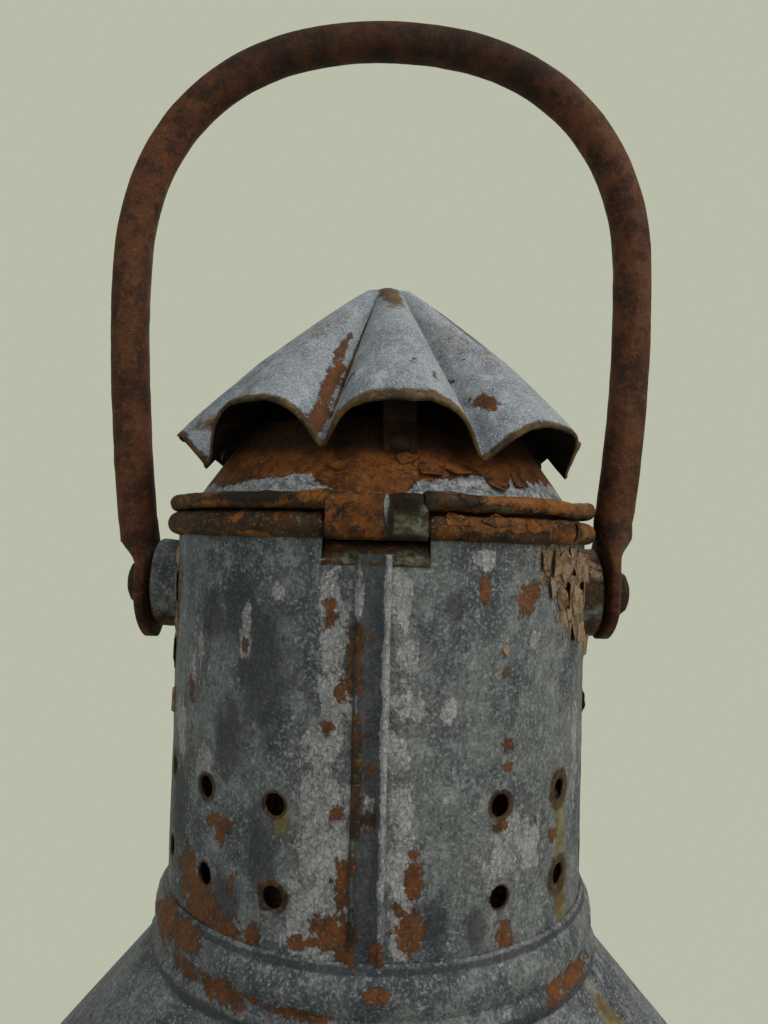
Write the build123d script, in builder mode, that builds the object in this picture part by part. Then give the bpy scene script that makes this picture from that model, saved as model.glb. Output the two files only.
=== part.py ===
from build123d import *
import os
from math import asin, cos, degrees, radians, sin, sqrt, tan

# All-round ship's oil lantern of zinc-coated sheet steel, in millimetres, +Z up.
# The origin is the centre of the foot, and the lid's hinge is on the -Y side.
# Azimuths are in degrees, 0 at the hinge (-Y) and growing towards +X.

os.makedirs("parts", exist_ok=True)

# Stock, and the length of the tools that cut through it
sheet = 0.8
plate = 1.2
rim_wire_radius = 2.1
solder_gap = 0.05
rivet_head_rise = 1.4
cutter = 20.0

# Foot and base drum
foot_height = 9.0
foot_width = 4.0
deck_height = 80.0
floor_height = 28.0
drum_hole_count = 24
drum_hole_radius = 3.5
drum_hole_height = 18.0
floor_hole_count = 12
floor_hole_radius = 4.0
floor_hole_circle = 76.0

# Base deck and lens
deck_lip_drop = 7.0
deck_hole_count = 24
deck_hole_radius = 2.6
deck_hole_circle = 74.0
curb_rise = 6.0
lens_outer_radius = 97.0
lens_wall = 11.0
lens_height = 140.0
lens_belt_half_height = 22.0
lens_belt_crown = 6.0
lens_step_count = 4
lens_end_band = 6.0
lens_step_depth = 3.0
lens_step_growth = 0.7
lens_play = 0.6
gasket_thickness = 2.8
gasket_width = 9.0

# Tie rods, nuts and guard hoops
rod_count = 4
rod_radius = 2.5
rod_gap = 4.1
rod_hole_play = 0.1
rod_end = 7.0
nut_across_flats = 8.0
nut_height = 4.0
nut_gap = 0.9
hoop_wire_radius = 2.0
hoop_spacing = 46.0

# Shoulder
kink_rise = 27.0
skirt_width = 20.5
upper_slope = 49.0
lower_slope = 42.0
brim_gap = 4.38
brim_bead_radius = 2.5

# Chimney
chimney_radius = 57.0
chimney_rise = 107.57
chimney_foot_drop = 9.0
chimney_bead_radius = 3.0
rim_bead_inset = 0.15
vent_hole_radius = 2.6
vent_hole_count = 15
vent_row_rises = (24.57, 45.07)
vent_first_azimuth = 30.1
vent_sweep = 306.4
lock_seam_width = 8.4
lock_seam_rise = 1.2
lock_groove_width = 2.4
lock_groove_depth = 0.7
lock_seam_offset = -1.5
collar_height = 13.0
collar_bulge = 3.4
collar_belly = 2.7
collar_belly_rise = 5.9

# Draught sleeve inside the chimney
sleeve_gap = 5.4
sleeve_foot_rise = 3.07
sleeve_height = 34.0

# Lid
hinge_offset = -1.2
hinge_gap = 23.4
hinge_strap_width = 22.7
hinge_play = 0.08
notch_depth = 7.0
strap_side_play = 0.4
lid_bead_radius = 2.5
lid_rim_rise = 6.2
lid_ledge = 2.3
lid_cone_slope = 56.0
lid_opening_radius = 38.8
spigot_play = 0.7
spigot_drop = 12.0
lift_tab_width = 16.0
lift_tab_reach = 9.0
lift_tab_curl = 3.0

# Fluted cap, its brackets and what hangs under it
lobe_count = 8
cap_crest_azimuth = 5.0
cap_rise = 67.7
cap_crown_radius = 8.6
cap_sheet = 1.1
cap_overhang = 3.2
cap_rim_crest_drop = 42.6
cap_valley_inset = 8.5
cap_rim_valley_drop = 50.2
cap_crest_bulge = 0.23
cap_level_count = 5
cap_trim = 4.4
bracket_count = 4
bracket_width = 8.0
bracket_foot = 9.0
bracket_tab = 7.0
bracket_tab_depth = 1.5
bracket_cap_gap = 0.9
bracket_rivet_radius = 2.6
bracket_rivet_shank = 1.4
stud_radius = 2.0
stud_head_radius = 3.4
stud_head_rise = 2.2
deflector_radius = 21.0
deflector_drop = 26.0
deflector_rise = 5.0

# Bail and its pivots
pivot_drop = 16.6
boss_radius = 12.5
boss_height = 7.0
boss_dish_radius = 8.0
boss_dish_depth = 1.2
pivot_radius = 4.0
pivot_play = 0.06
pivot_head_radius = 6.8
pivot_head_rise = 2.6
side_play = 0.2
washer_radius = 8.0
pivot_tail_radius = 6.0
pivot_tail_rise = 1.6
bail_rod_radius = 5.15
paddle_radius = 14.0
paddle_thickness = 5.0
paddle_taper = 30.0
rod_offset = 1.8
forge_length = 9.0
forge_half_width = 7.7
bail_reach = 161.7
bail_crown_radius = 105.3
bail_shoulder_radius = 64.0
bail_leg_bow = 4.8

# Oil font
font_play = 3.0
font_height = 54.8
font_shoulder = 4.0
font_recess = 2.0
seat_play = 0.5
seat_height = 13.0
seat_flare = 4.0
seat_flange = 8.0
loop_wire_radius = 1.75
loop_half_span = 32.0
loop_height = 148.0
loop_foot_radius = 4.5
filler_offset = 32.0
filler_neck_radius = 7.0
filler_bore_radius = 5.5
filler_neck_height = 5.2
filler_cap_wall = 1.9
filler_cap_top = 2.0
filler_cap_play = 0.25
filler_washer_thickness = 0.8
filler_lift = 1.2
filler_groove_radius = 0.7
filler_groove_count = 16

# Burner
collar_bore_radius = 12.4
collar_wall = 3.6
collar_rise = 7.2
gallery_radius = 20.0
gallery_height = 18.0
gallery_lip = 1.5
gallery_hole_count = 12
gallery_hole_radius = 1.6
wick_width = 20.0
wick_thickness = 2.4
wick_play = 0.5
wick_stand = 2.0
wick_tail = 33.0
wick_wheel_gap = 0.3
tube_height = 36.0
tube_dip = 6.0
dome_band = 5.0
dome_rise = 18.0
dome_slot_play = 2.2
spindle_radius = 1.5
spindle_play = 0.06
spindle_rise = 11.0
wick_wheel_radius = 4.0
wick_wheel_width = 2.0
wick_wheel_spacing = 10.0
wick_wheel_teeth = 16
wick_tooth_depth = 0.6
knob_radius = 9.0
knob_width = 4.0
knob_reach = 12.0
knob_groove_count = 24
knob_groove_radius = 0.5


def polar(radius, azimuth):
    """Point at a radius and an azimuth that grows from -Y towards +X."""
    return (radius * sin(radians(azimuth)), -radius * cos(radians(azimuth)))


def bearing(azimuth):
    """The same azimuth as an angle from +X, for polar patterns."""
    return azimuth - 90


def section(inner, outer, low, high):
    """A ring's rectangular section, on the plane that is turned about the axis."""
    with Locations(((inner + outer) / 2, (low + high) / 2)):
        Rectangle(outer - inner, high - low)


def dome(radius, rise):
    """The middle point of a dome's arc, as its radius and its height over the dome's foot."""
    ball = (radius**2 + rise**2) / (2 * rise)
    half = asin(radius / ball) / 2
    return ball * sin(half), rise - ball * (1 - cos(half))


def side_plane(azimuth):
    """A plane through the lantern's axis: local x is outward, local y is up."""
    outward = (sin(radians(azimuth)), -cos(radians(azimuth)), 0)
    normal = (-cos(radians(azimuth)), -sin(radians(azimuth)), 0)
    return Plane(origin=(0, 0, 0), x_dir=outward, z_dir=normal)


# Heights and radii that follow from the driving sizes
deck_top = deck_height + plate
curb_radius = lens_outer_radius + lens_play
rod_circle = curb_radius + sheet + rod_gap + rod_radius
nut_corner = nut_across_flats / 2 / cos(radians(30))
drum_radius = rod_circle - nut_corner - nut_gap
deck_radius = rod_circle + nut_corner + nut_gap + sheet
lens_bottom = deck_top + gasket_thickness
lens_top = lens_bottom + lens_height
lens_middle = (lens_bottom + lens_top) / 2
lens_inner_radius = lens_outer_radius - lens_wall
ring_bottom = lens_top + gasket_thickness
ring_top = ring_bottom + plate
chimney_bore = chimney_radius - sheet
neck_radius = chimney_radius + solder_gap
cap_rim_crest_radius = chimney_radius + cap_overhang
cap_rim_valley_radius = chimney_radius - cap_valley_inset
brim_radius = rod_circle + nut_corner + brim_gap
kink_radius = brim_radius - skirt_width
kink_height = ring_top + kink_rise
upper_rise = tan(radians(upper_slope))
neck_height = kink_height + (kink_radius - neck_radius) * upper_rise
chimney_rim_height = neck_height + chimney_rise
cap_crown_height = chimney_rim_height + cap_rise
pivot_height = chimney_rim_height - pivot_drop
sleeve_foot = neck_height + sleeve_foot_rise
brim_bead_height = ring_top + plate
brim_bead_centre = brim_radius - sheet + brim_bead_radius

# Base drum: rolled sheet with air holes near its foot
with BuildPart() as base_drum:
    with BuildSketch(Plane.XZ):
        section(drum_radius - sheet, drum_radius, 0, deck_height)
    revolve(axis=Axis.Z)
    with Locations((0, 0, drum_hole_height)):
        with PolarLocations(drum_radius, drum_hole_count):
            Cylinder(drum_hole_radius, cutter, rotation=(0, 90, 0), mode=Mode.SUBTRACT)
base_drum.part.label = "base_drum"
export_step(base_drum.part, "parts/base_drum.step")

# Foot ring: heavy band round the bottom edge, which the lantern stands on
foot_inner = drum_radius + solder_gap
with BuildPart() as foot_ring:
    with BuildSketch(Plane.XZ) as foot_section:
        section(foot_inner, foot_inner + foot_width, 0, foot_height)
        outer_corners = foot_section.vertices().group_by(Axis.X)[-1]
        fillet(outer_corners.sort_by(Axis.Y)[-1], foot_width / 2)
    revolve(axis=Axis.Z)
foot_ring.part.label = "foot_ring"
export_step(foot_ring.part, "parts/foot_ring.step")

# Base floor: carries the font seat, and lets air up from under the foot
floor_top = floor_height + plate
with BuildPart() as base_floor:
    with BuildSketch(Plane.XY.offset(floor_height)):
        Circle(drum_radius - sheet - solder_gap)
        with PolarLocations(floor_hole_circle, floor_hole_count):
            Circle(floor_hole_radius, mode=Mode.SUBTRACT)
    extrude(amount=plate)
base_floor.part.label = "base_floor"
export_step(base_floor.part, "parts/base_floor.step")

# Base deck: closes the drum, with the font's opening, air holes, lens curb and turned-down lip
font_radius = chimney_bore - sleeve_gap - sheet - font_play
deck_opening = font_radius + seat_play + sheet + seat_play
with BuildPart() as base_deck:
    with BuildSketch(Plane.XZ):
        section(deck_opening, deck_radius, deck_height, deck_top)
        section(deck_radius - sheet, deck_radius, deck_top - deck_lip_drop, deck_top)
        section(curb_radius, curb_radius + sheet, deck_height, deck_top + curb_rise)
    revolve(axis=Axis.Z)
    with Locations((0, 0, deck_height)):
        with PolarLocations(deck_hole_circle, deck_hole_count):
            Cylinder(deck_hole_radius, cutter, mode=Mode.SUBTRACT)
        with PolarLocations(rod_circle, rod_count, start_angle=180 / rod_count):
            Cylinder(rod_radius + rod_hole_play, cutter, mode=Mode.SUBTRACT)
base_deck.part.label = "base_deck"
export_step(base_deck.part, "parts/base_deck.step")

# Lens ring: the deck's counterpart over the lens, soldered inside the shoulder's brim
ring_radius = brim_radius - sheet - solder_gap
with BuildPart() as lens_ring:
    with BuildSketch(Plane.XZ):
        section(chimney_bore, ring_radius, ring_bottom, ring_top)
        section(curb_radius, curb_radius + sheet, ring_bottom - curb_rise, ring_top)
    revolve(axis=Axis.Z)
    with Locations((0, 0, ring_bottom)):
        with PolarLocations(rod_circle, rod_count, start_angle=180 / rod_count):
            Cylinder(rod_radius + rod_hole_play, cutter, mode=Mode.SUBTRACT)
lens_ring.part.label = "lens_ring"
export_step(lens_ring.part, "parts/lens_ring.step")

# Gaskets: flat rings between the lens and its two seats
with BuildPart() as lower_gasket:
    with BuildSketch(Plane.XZ):
        section(lens_outer_radius - gasket_width, lens_outer_radius, deck_top, lens_bottom)
    revolve(axis=Axis.Z)
lower_gasket.part.label = "lower_gasket"
export_step(lower_gasket.part, "parts/lower_gasket.step")

with BuildPart() as upper_gasket:
    with BuildSketch(Plane.XZ):
        section(lens_outer_radius - gasket_width, lens_outer_radius, lens_top, ring_bottom)
    revolve(axis=Axis.Z)
upper_gasket.part.label = "upper_gasket"
export_step(upper_gasket.part, "parts/upper_gasket.step")

# Dioptric lens: a convex belt at the height of the flame, with prism steps above and below
prism_span = lens_height / 2 - lens_belt_half_height - lens_end_band
prism_height = prism_span / lens_step_count


def prism_points(side):
    """Outline points of the steps on one side of the belt, from the belt outward."""
    points = []
    for step in range(lens_step_count):
        start = lens_belt_half_height + step * prism_height
        root = lens_outer_radius - lens_step_depth - step * lens_step_growth
        points.append((lens_outer_radius, lens_middle + side * start))
        points.append((root, lens_middle + side * (start + prism_height)))
    points.append((lens_outer_radius, lens_middle + side * (lens_height / 2 - lens_end_band)))
    points.append((lens_outer_radius, lens_middle + side * lens_height / 2))
    points.append((lens_inner_radius, lens_middle + side * lens_height / 2))
    return points


belt_edge = lens_outer_radius - lens_belt_crown
belt_top = (belt_edge, lens_middle + lens_belt_half_height)
belt_foot = (belt_edge, lens_middle - lens_belt_half_height)
with BuildPart() as lens:
    with BuildSketch(Plane.XZ):
        with BuildLine():
            ThreePointArc(belt_foot, (lens_outer_radius, lens_middle), belt_top)
            Polyline(belt_top, *prism_points(1), *reversed(prism_points(-1)), belt_foot)
        make_face()
    revolve(axis=Axis.Z)
lens.part.label = "lens"
export_step(lens.part, "parts/lens.step")

# Tie rods: clamp the lens between the deck and the lens ring
rod_bottom = deck_height - rod_end
rod_top = ring_top + rod_end
with BuildPart() as tie_rods:
    with BuildSketch(Plane.XY.offset(rod_bottom)):
        with PolarLocations(rod_circle, rod_count, start_angle=180 / rod_count):
            Circle(rod_radius)
    extrude(amount=rod_top - rod_bottom)
tie_rods.part.label = "tie_rods"
export_step(tie_rods.part, "parts/tie_rods.step")

# Tie rod nuts: one under the deck and one over the lens ring on each rod
with BuildPart() as tie_rod_nuts:
    for nut_height_start in (deck_height - nut_height, ring_top):
        with BuildSketch(Plane.XY.offset(nut_height_start)):
            with PolarLocations(rod_circle, rod_count, start_angle=180 / rod_count):
                RegularPolygon(nut_across_flats / 2, 6, major_radius=False)
                Circle(rod_radius + solder_gap, mode=Mode.SUBTRACT)
        extrude(amount=nut_height)
tie_rod_nuts.part.label = "tie_rod_nuts"
export_step(tie_rod_nuts.part, "parts/tie_rod_nuts.step")

# Guard hoops: wire rings soldered outside the tie rods, round the lens
hoop_circle = rod_circle + rod_radius + hoop_wire_radius + solder_gap
with BuildPart() as guard_hoops:
    for side in (-1, 1):
        with BuildSketch(Plane.XZ):
            with Locations((hoop_circle, lens_middle + side * hoop_spacing / 2)):
                Circle(hoop_wire_radius)
        revolve(axis=Axis.Z)
guard_hoops.part.label = "guard_hoops"
export_step(guard_hoops.part, "parts/guard_hoops.step")

# Shoulder: steep cone, kink and flatter skirt, with a brim turned down and wired
cone_side = sheet / cos(radians(upper_slope))
skirt_side = sheet / cos(radians(lower_slope))


def skirt_height(radius):
    """Height of the shoulder's upper face at a radius outside the kink."""
    return kink_height - (radius - kink_radius) * tan(radians(lower_slope))


with BuildPart() as shoulder:
    with BuildSketch(Plane.XZ):
        Polygon(
            (neck_radius, neck_height),
            (kink_radius, kink_height),
            (brim_radius, skirt_height(brim_radius)),
            (brim_radius, brim_bead_height),
            (brim_radius - sheet, brim_bead_height),
            (brim_radius - sheet, skirt_height(brim_radius - sheet) - skirt_side),
            (kink_radius, kink_height - cone_side),
            (neck_radius, neck_height - cone_side),
            align=None,
        )
        with Locations((brim_bead_centre, brim_bead_height)):
            Circle(brim_bead_radius)
    revolve(axis=Axis.Z)
shoulder.part.label = "shoulder"
export_step(shoulder.part, "parts/shoulder.step")

# Chimney: rolled barrel with air holes, a lock seam, a rolled rim and a notch for the hinge
bead_bore = chimney_bead_radius - sheet
rim_radius = chimney_radius - rim_bead_inset
chimney_foot = neck_height - chimney_foot_drop
seam_foot = neck_height + collar_height
seam_top = chimney_rim_height - notch_depth
notch_half = hinge_gap / 2
pivot_bore_length = 2 * chimney_radius + 2 * cutter
with BuildPart() as chimney:
    with BuildSketch(Plane.XZ):
        section(chimney_bore, chimney_radius, chimney_foot, chimney_rim_height - bead_bore)
        with Locations((rim_radius, chimney_rim_height)):
            Circle(chimney_bead_radius)
            Circle(bead_bore, mode=Mode.SUBTRACT)
    revolve(axis=Axis.Z)
    with BuildSketch(Plane.XY.offset(seam_foot)):
        with Locations((lock_seam_offset, -chimney_radius)):
            Rectangle(lock_seam_width, 2 * lock_seam_rise)
        with Locations((lock_seam_offset, -chimney_radius - lock_seam_rise)):
            Rectangle(lock_groove_width, 2 * lock_groove_depth, mode=Mode.SUBTRACT)
        Circle(chimney_radius - sheet / 2, mode=Mode.SUBTRACT)
    extrude(amount=seam_top - seam_foot)
    for row_rise in vent_row_rises:
        with Locations((0, 0, neck_height + row_rise)):
            with PolarLocations(
                chimney_radius,
                vent_hole_count,
                start_angle=bearing(vent_first_azimuth),
                angular_range=vent_sweep,
                endpoint=True,
            ):
                Cylinder(vent_hole_radius, cutter, rotation=(0, 90, 0), mode=Mode.SUBTRACT)
    with Locations((hinge_offset, -rim_radius, chimney_rim_height)):
        Box(hinge_gap, cutter, 2 * notch_depth, mode=Mode.SUBTRACT)
    with Locations((0, 0, pivot_height)):
        Cylinder(pivot_radius + solder_gap, pivot_bore_length, rotation=(0, 90, 0), mode=Mode.SUBTRACT)
chimney.part.label = "chimney"
export_step(chimney.part, "parts/chimney.step")

# Rim wire: runs inside the rolled rim and is bare and straight in the gap, as the hinge pin
pin_inset = sqrt(rim_radius**2 - notch_half**2)
with BuildPart() as rim_wire:
    with BuildSketch(Plane.XZ):
        with Locations((rim_radius, chimney_rim_height)):
            Circle(rim_wire_radius)
    revolve(axis=Axis.Z)
    with Locations((hinge_offset, -rim_radius, chimney_rim_height)):
        Box(hinge_gap, cutter, cutter, mode=Mode.SUBTRACT)
    with Locations((hinge_offset, -pin_inset, chimney_rim_height)):
        Cylinder(rim_wire_radius, hinge_gap, rotation=(0, 90, 0))
rim_wire.part.label = "rim_wire"
export_step(rim_wire.part, "parts/rim_wire.step")

# Collar: swaged band that covers the joint of chimney and shoulder
collar_top = neck_height + collar_height
collar_foot_radius = chimney_radius + collar_bulge


def cone_height(radius):
    """Height of the shoulder's upper face at a radius above the kink."""
    return kink_height + (kink_radius - radius) * upper_rise


with BuildPart() as collar:
    with BuildSketch(Plane.XZ):
        foot_in = (neck_radius, cone_height(neck_radius) + solder_gap)
        foot_out = (collar_foot_radius, cone_height(collar_foot_radius) + solder_gap)
        belly = (neck_radius + collar_belly, cone_height(neck_radius) + collar_belly_rise)
        lip_out = (neck_radius + sheet, collar_top)
        lip_in = (neck_radius, collar_top)
        with BuildLine():
            Line(foot_in, foot_out)
            ThreePointArc(foot_out, belly, lip_out)
            Polyline(lip_out, lip_in, foot_in)
        make_face()
    revolve(axis=Axis.Z)
collar.part.label = "collar"
export_step(collar.part, "parts/collar.step")

# Draught sleeve: turns the air from the lower holes upward, clear of the font's way out
sleeve_outer = chimney_bore - sleeve_gap
sleeve_inner = sleeve_outer - sheet
with BuildPart() as draught_sleeve:
    with BuildSketch(Plane.XZ):
        section(sleeve_inner, sleeve_outer, sleeve_foot, sleeve_foot + sleeve_height)
        section(sleeve_inner, chimney_bore - solder_gap, sleeve_foot, sleeve_foot + sheet)
    revolve(axis=Axis.Z)
draught_sleeve.part.label = "draught_sleeve"
export_step(draught_sleeve.part, "parts/draught_sleeve.step")

# Lid shell: cone with an open top over a ledge and a wired rim, and the spigot that drops into the chimney
lid_rim_height = chimney_rim_height + lid_rim_rise
lid_rim_centre = rim_radius + chimney_bead_radius - lid_bead_radius
ledge_top = lid_rim_height + sheet / 2
ledge_outer = lid_rim_centre - lid_bead_radius + sheet / 4
cone_foot = lid_rim_centre - lid_bead_radius - lid_ledge
lid_slope = tan(radians(lid_cone_slope))
lid_cone_top = ledge_top + (cone_foot - lid_opening_radius) * lid_slope
lid_wall = sheet / sin(radians(lid_cone_slope))
spigot_outer = rim_radius - chimney_bead_radius - spigot_play
strap_slot = hinge_strap_width + strap_side_play
slope_cos = cos(radians(lid_cone_slope))
slope_sin = sin(radians(lid_cone_slope))
riser_inner = lid_opening_radius + plate
riser_outer = riser_inner + plate
foot_reach = bracket_foot * slope_cos
bracket_azimuths = [cap_crest_azimuth + step * 360 / bracket_count for step in range(bracket_count)]


def lid_height(radius, proud=0.0):
    """Height at a radius of a line along the lid's cone, a normal distance proud of it."""
    return ledge_top + (cone_foot - radius) * lid_slope + proud / slope_cos


def lid_plane(azimuth):
    """A plane on the lid's cone at the middle of a bracket's foot, facing outward."""
    radius = riser_outer + foot_reach / 2
    outward = (sin(radians(azimuth)), -cos(radians(azimuth)))
    normal = (outward[0] * slope_sin, outward[1] * slope_sin, slope_cos)
    return Plane(origin=(*polar(radius, azimuth), lid_height(radius)), z_dir=normal)


rivet_planes = [lid_plane(azimuth) for azimuth in bracket_azimuths]
with BuildPart() as lid_shell:
    with BuildSketch(Plane.XZ):
        with Locations((lid_rim_centre, lid_rim_height)):
            Circle(lid_bead_radius)
    revolve(axis=Axis.Z)
    with Locations((hinge_offset, -lid_rim_centre, lid_rim_height)):
        Box(strap_slot, cutter, 2 * cutter, mode=Mode.SUBTRACT)
    with BuildSketch(Plane.XZ):
        Polygon(
            (cone_foot, ledge_top),
            (lid_opening_radius, lid_cone_top),
            (lid_opening_radius - lid_wall, lid_cone_top),
            (cone_foot - lid_wall, ledge_top),
            (cone_foot - lid_wall, ledge_top - sheet),
            (cone_foot, ledge_top - sheet),
            align=None,
        )
        section(cone_foot - lid_wall, ledge_outer + sheet, ledge_top - sheet, ledge_top)
    revolve(axis=Axis.Z)
    with Locations(*rivet_planes):
        Cylinder(bracket_rivet_shank + solder_gap, cutter, mode=Mode.SUBTRACT)
lid_shell.part.label = "lid_shell"
export_step(lid_shell.part, "parts/lid_shell.step")

with BuildPart() as lid_spigot:
    with BuildSketch(Plane.XZ):
        section(spigot_outer - sheet, spigot_outer, lid_rim_height - spigot_drop, ledge_top - sheet)
    revolve(axis=Axis.Z)
    with Locations((hinge_offset, -lid_rim_centre, lid_rim_height)):
        Box(strap_slot, cutter, 2 * cutter, mode=Mode.SUBTRACT)
lid_spigot.part.label = "lid_spigot"
export_step(lid_spigot.part, "parts/lid_spigot.step")

# Hinge strap: sheet wrapped round the bare rim wire, up the rim and onto the lid's ledge
strap_sheet = chimney_bead_radius - rim_wire_radius - hinge_play
strap_front = -pin_inset - chimney_bead_radius
strap_rear = -cone_foot - sheet / 2
with BuildPart() as hinge_strap:
    with BuildSketch(Plane.YZ.offset(hinge_offset - hinge_strap_width / 2)):
        with Locations((-pin_inset, chimney_rim_height)):
            Circle(chimney_bead_radius)
        Polygon(
            (strap_front, chimney_rim_height),
            (strap_front, ledge_top + strap_sheet),
            (strap_rear, ledge_top + strap_sheet),
            (strap_rear, ledge_top),
            (strap_front + strap_sheet, ledge_top),
            (strap_front + strap_sheet, chimney_rim_height),
            align=None,
        )
        with Locations((-pin_inset, chimney_rim_height)):
            Circle(rim_wire_radius + hinge_play, mode=Mode.SUBTRACT)
    extrude(amount=hinge_strap_width)
hinge_strap.part.label = "hinge_strap"
export_step(hinge_strap.part, "parts/hinge_strap.step")

# Lift tab: strip on the far side of the lid, over its rim, to open it by
tab_rest = lid_rim_height + lid_bead_radius + solder_gap
tab_riser = sqrt(lid_rim_centre**2 - (lift_tab_width / 2) ** 2) - lid_bead_radius - 2 * solder_gap
tab_end = lid_rim_centre + lid_bead_radius + lift_tab_reach
with BuildPart() as lift_tab:
    with BuildSketch(Plane.YZ.offset(-lift_tab_width / 2)):
        Polygon(
            (tab_riser - plate, ledge_top),
            (tab_riser, ledge_top),
            (tab_riser, tab_rest),
            (tab_end - lift_tab_curl, tab_rest),
            (tab_end, tab_rest - lift_tab_curl),
            (tab_end + plate, tab_rest - lift_tab_curl + plate),
            (tab_end - lift_tab_curl + plate / 2, tab_rest + plate),
            (tab_riser - plate, tab_rest + plate),
            align=None,
        )
    extrude(amount=lift_tab_width)
    with BuildSketch(Plane.XY.offset(ledge_top)):
        with Locations((0, tab_riser - plate)):
            RectangleRounded(
                lift_tab_width, 2 * (tab_end + plate - tab_riser + plate), lift_tab_curl
            )
    extrude(amount=cutter, mode=Mode.INTERSECT)
lift_tab.part.label = "lift_tab"
export_step(lift_tab.part, "parts/lift_tab.step")

# Fluted cap: one sheet drawn into open lobes between a flat crown and a scalloped rim
lobe_step = 360 / lobe_count
cap_skirt_drop = cap_rim_valley_drop + cap_trim


def crest_radius(drop):
    """Radius of a lobe's crest line at a drop below the crown; the line bulges a little."""
    share = drop / cap_rim_crest_drop
    return cap_crown_radius + (cap_rim_crest_radius - cap_crown_radius) * (
        share + cap_crest_bulge * share * (1 - share)
    )


def crest_drop(radius):
    """The drop below the crown at which a crest line reaches a radius."""
    share = (radius - cap_crown_radius) / (cap_rim_crest_radius - cap_crown_radius)
    root = sqrt((1 + cap_crest_bulge) ** 2 - 4 * cap_crest_bulge * share)
    return cap_rim_crest_drop * (1 + cap_crest_bulge - root) / (2 * cap_crest_bulge)


def valley_radius(drop):
    """Radius of the straight valley line between two lobes at a drop below the crown."""
    start = cap_crown_radius - sheet
    return start + (cap_rim_valley_radius - start) * drop / cap_rim_valley_drop


rim_rise = (cap_rim_valley_drop - cap_rim_crest_drop) / (cap_rim_crest_radius - cap_rim_valley_radius)
rim_apex = cap_crown_height - cap_rim_valley_drop - cap_rim_valley_radius * rim_rise
rim_reach = cap_rim_crest_radius + cutter
with BuildPart() as fluted_cap:
    for sink, mode in ((0, Mode.ADD), (cap_sheet, Mode.SUBTRACT)):
        for level in range(cap_level_count):
            drop = cap_skirt_drop * level / (cap_level_count - 1)
            with BuildSketch(Plane.XY.offset(cap_crown_height - sink - drop)):
                with BuildLine():
                    for lobe in range(lobe_count):
                        crest = cap_crest_azimuth + lobe * lobe_step
                        ThreePointArc(
                            polar(valley_radius(drop), crest - lobe_step / 2),
                            polar(crest_radius(drop), crest),
                            polar(valley_radius(drop), crest + lobe_step / 2),
                        )
                make_face()
        loft(mode=mode)
    with BuildSketch(Plane.XZ):
        Polygon(
            (0, rim_apex),
            (rim_reach, rim_apex + rim_reach * rim_rise),
            (rim_reach, cap_crown_height + cutter),
            (0, cap_crown_height + cutter),
            align=None,
        )
    revolve(axis=Axis.Z, mode=Mode.INTERSECT)
    with Locations((0, 0, cap_crown_height)):
        Cylinder(stud_radius + solder_gap, cutter, mode=Mode.SUBTRACT)
fluted_cap.part.label = "fluted_cap"
export_step(fluted_cap.part, "parts/fluted_cap.step")

# Smoke deflector: shallow cone hung under the cap, against wind that blows down
deflector_height = cap_crown_height - deflector_drop
with BuildPart() as smoke_deflector:
    with BuildSketch(Plane.XZ):
        Polygon(
            (stud_radius + solder_gap, deflector_height),
            (deflector_radius, deflector_height - deflector_rise),
            (deflector_radius, deflector_height - deflector_rise - plate),
            (stud_radius + solder_gap, deflector_height - plate),
            align=None,
        )
    revolve(axis=Axis.Z)
smoke_deflector.part.label = "smoke_deflector"
export_step(smoke_deflector.part, "parts/smoke_deflector.step")

# Cap stud: rivet with a domed head on the crown, upset under the deflector
tail_height = deflector_height - plate - deflector_rise / deflector_radius * stud_head_radius
stud_bulge = dome(stud_head_radius, stud_head_rise)
with BuildPart() as cap_stud:
    with BuildSketch(Plane.XZ):
        section(0, stud_radius, tail_height - plate, cap_crown_height)
        section(0, stud_head_radius, tail_height - plate, tail_height)
        with BuildLine():
            Polyline(
                (0, cap_crown_height + stud_head_rise),
                (0, cap_crown_height),
                (stud_head_radius, cap_crown_height),
            )
            ThreePointArc(
                (stud_head_radius, cap_crown_height),
                (stud_bulge[0], cap_crown_height + stud_bulge[1]),
                (0, cap_crown_height + stud_head_rise),
            )
        make_face()
    revolve(axis=Axis.Z)
cap_stud.part.label = "cap_stud"
export_step(cap_stud.part, "parts/cap_stud.step")

# Stud spacer: tube on the stud that holds the deflector down
with BuildPart() as stud_spacer:
    with BuildSketch(Plane.XZ):
        section(
            stud_radius + solder_gap, stud_head_radius, deflector_height, cap_crown_height - cap_sheet
        )
    revolve(axis=Axis.Z)
stud_spacer.part.label = "stud_spacer"
export_step(stud_spacer.part, "parts/stud_spacer.step")

# Cap brackets: strips with a foot riveted on the lid's cone, a riser and a tab under a lobe
def under_lobe(radius):
    """Height just under a lobe's crest, where a flat tab still clears its curve."""
    return cap_crown_height - crest_drop(radius) - cap_sheet - bracket_cap_gap


tab_end_radius = riser_outer - bracket_tab
with BuildPart() as cap_brackets:
    for azimuth in bracket_azimuths:
        with BuildSketch(side_plane(azimuth)):
            Polygon(
                (riser_inner + foot_reach, lid_height(riser_inner + foot_reach, solder_gap)),
                (riser_inner + foot_reach, lid_height(riser_inner + foot_reach, solder_gap + plate)),
                (riser_outer, lid_height(riser_outer, solder_gap + plate)),
                (riser_outer, under_lobe(riser_outer)),
                (tab_end_radius, under_lobe(tab_end_radius)),
                (tab_end_radius, under_lobe(tab_end_radius) - bracket_tab_depth),
                (riser_inner, under_lobe(riser_inner) - bracket_tab_depth),
                (riser_inner, lid_height(riser_inner, solder_gap)),
                align=None,
            )
        extrude(amount=bracket_width / 2, both=True)
    with Locations(*rivet_planes):
        Cylinder(bracket_rivet_shank + solder_gap, cutter, mode=Mode.SUBTRACT)
cap_brackets.part.label = "cap_brackets"
export_step(cap_brackets.part, "parts/cap_brackets.step")

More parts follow.
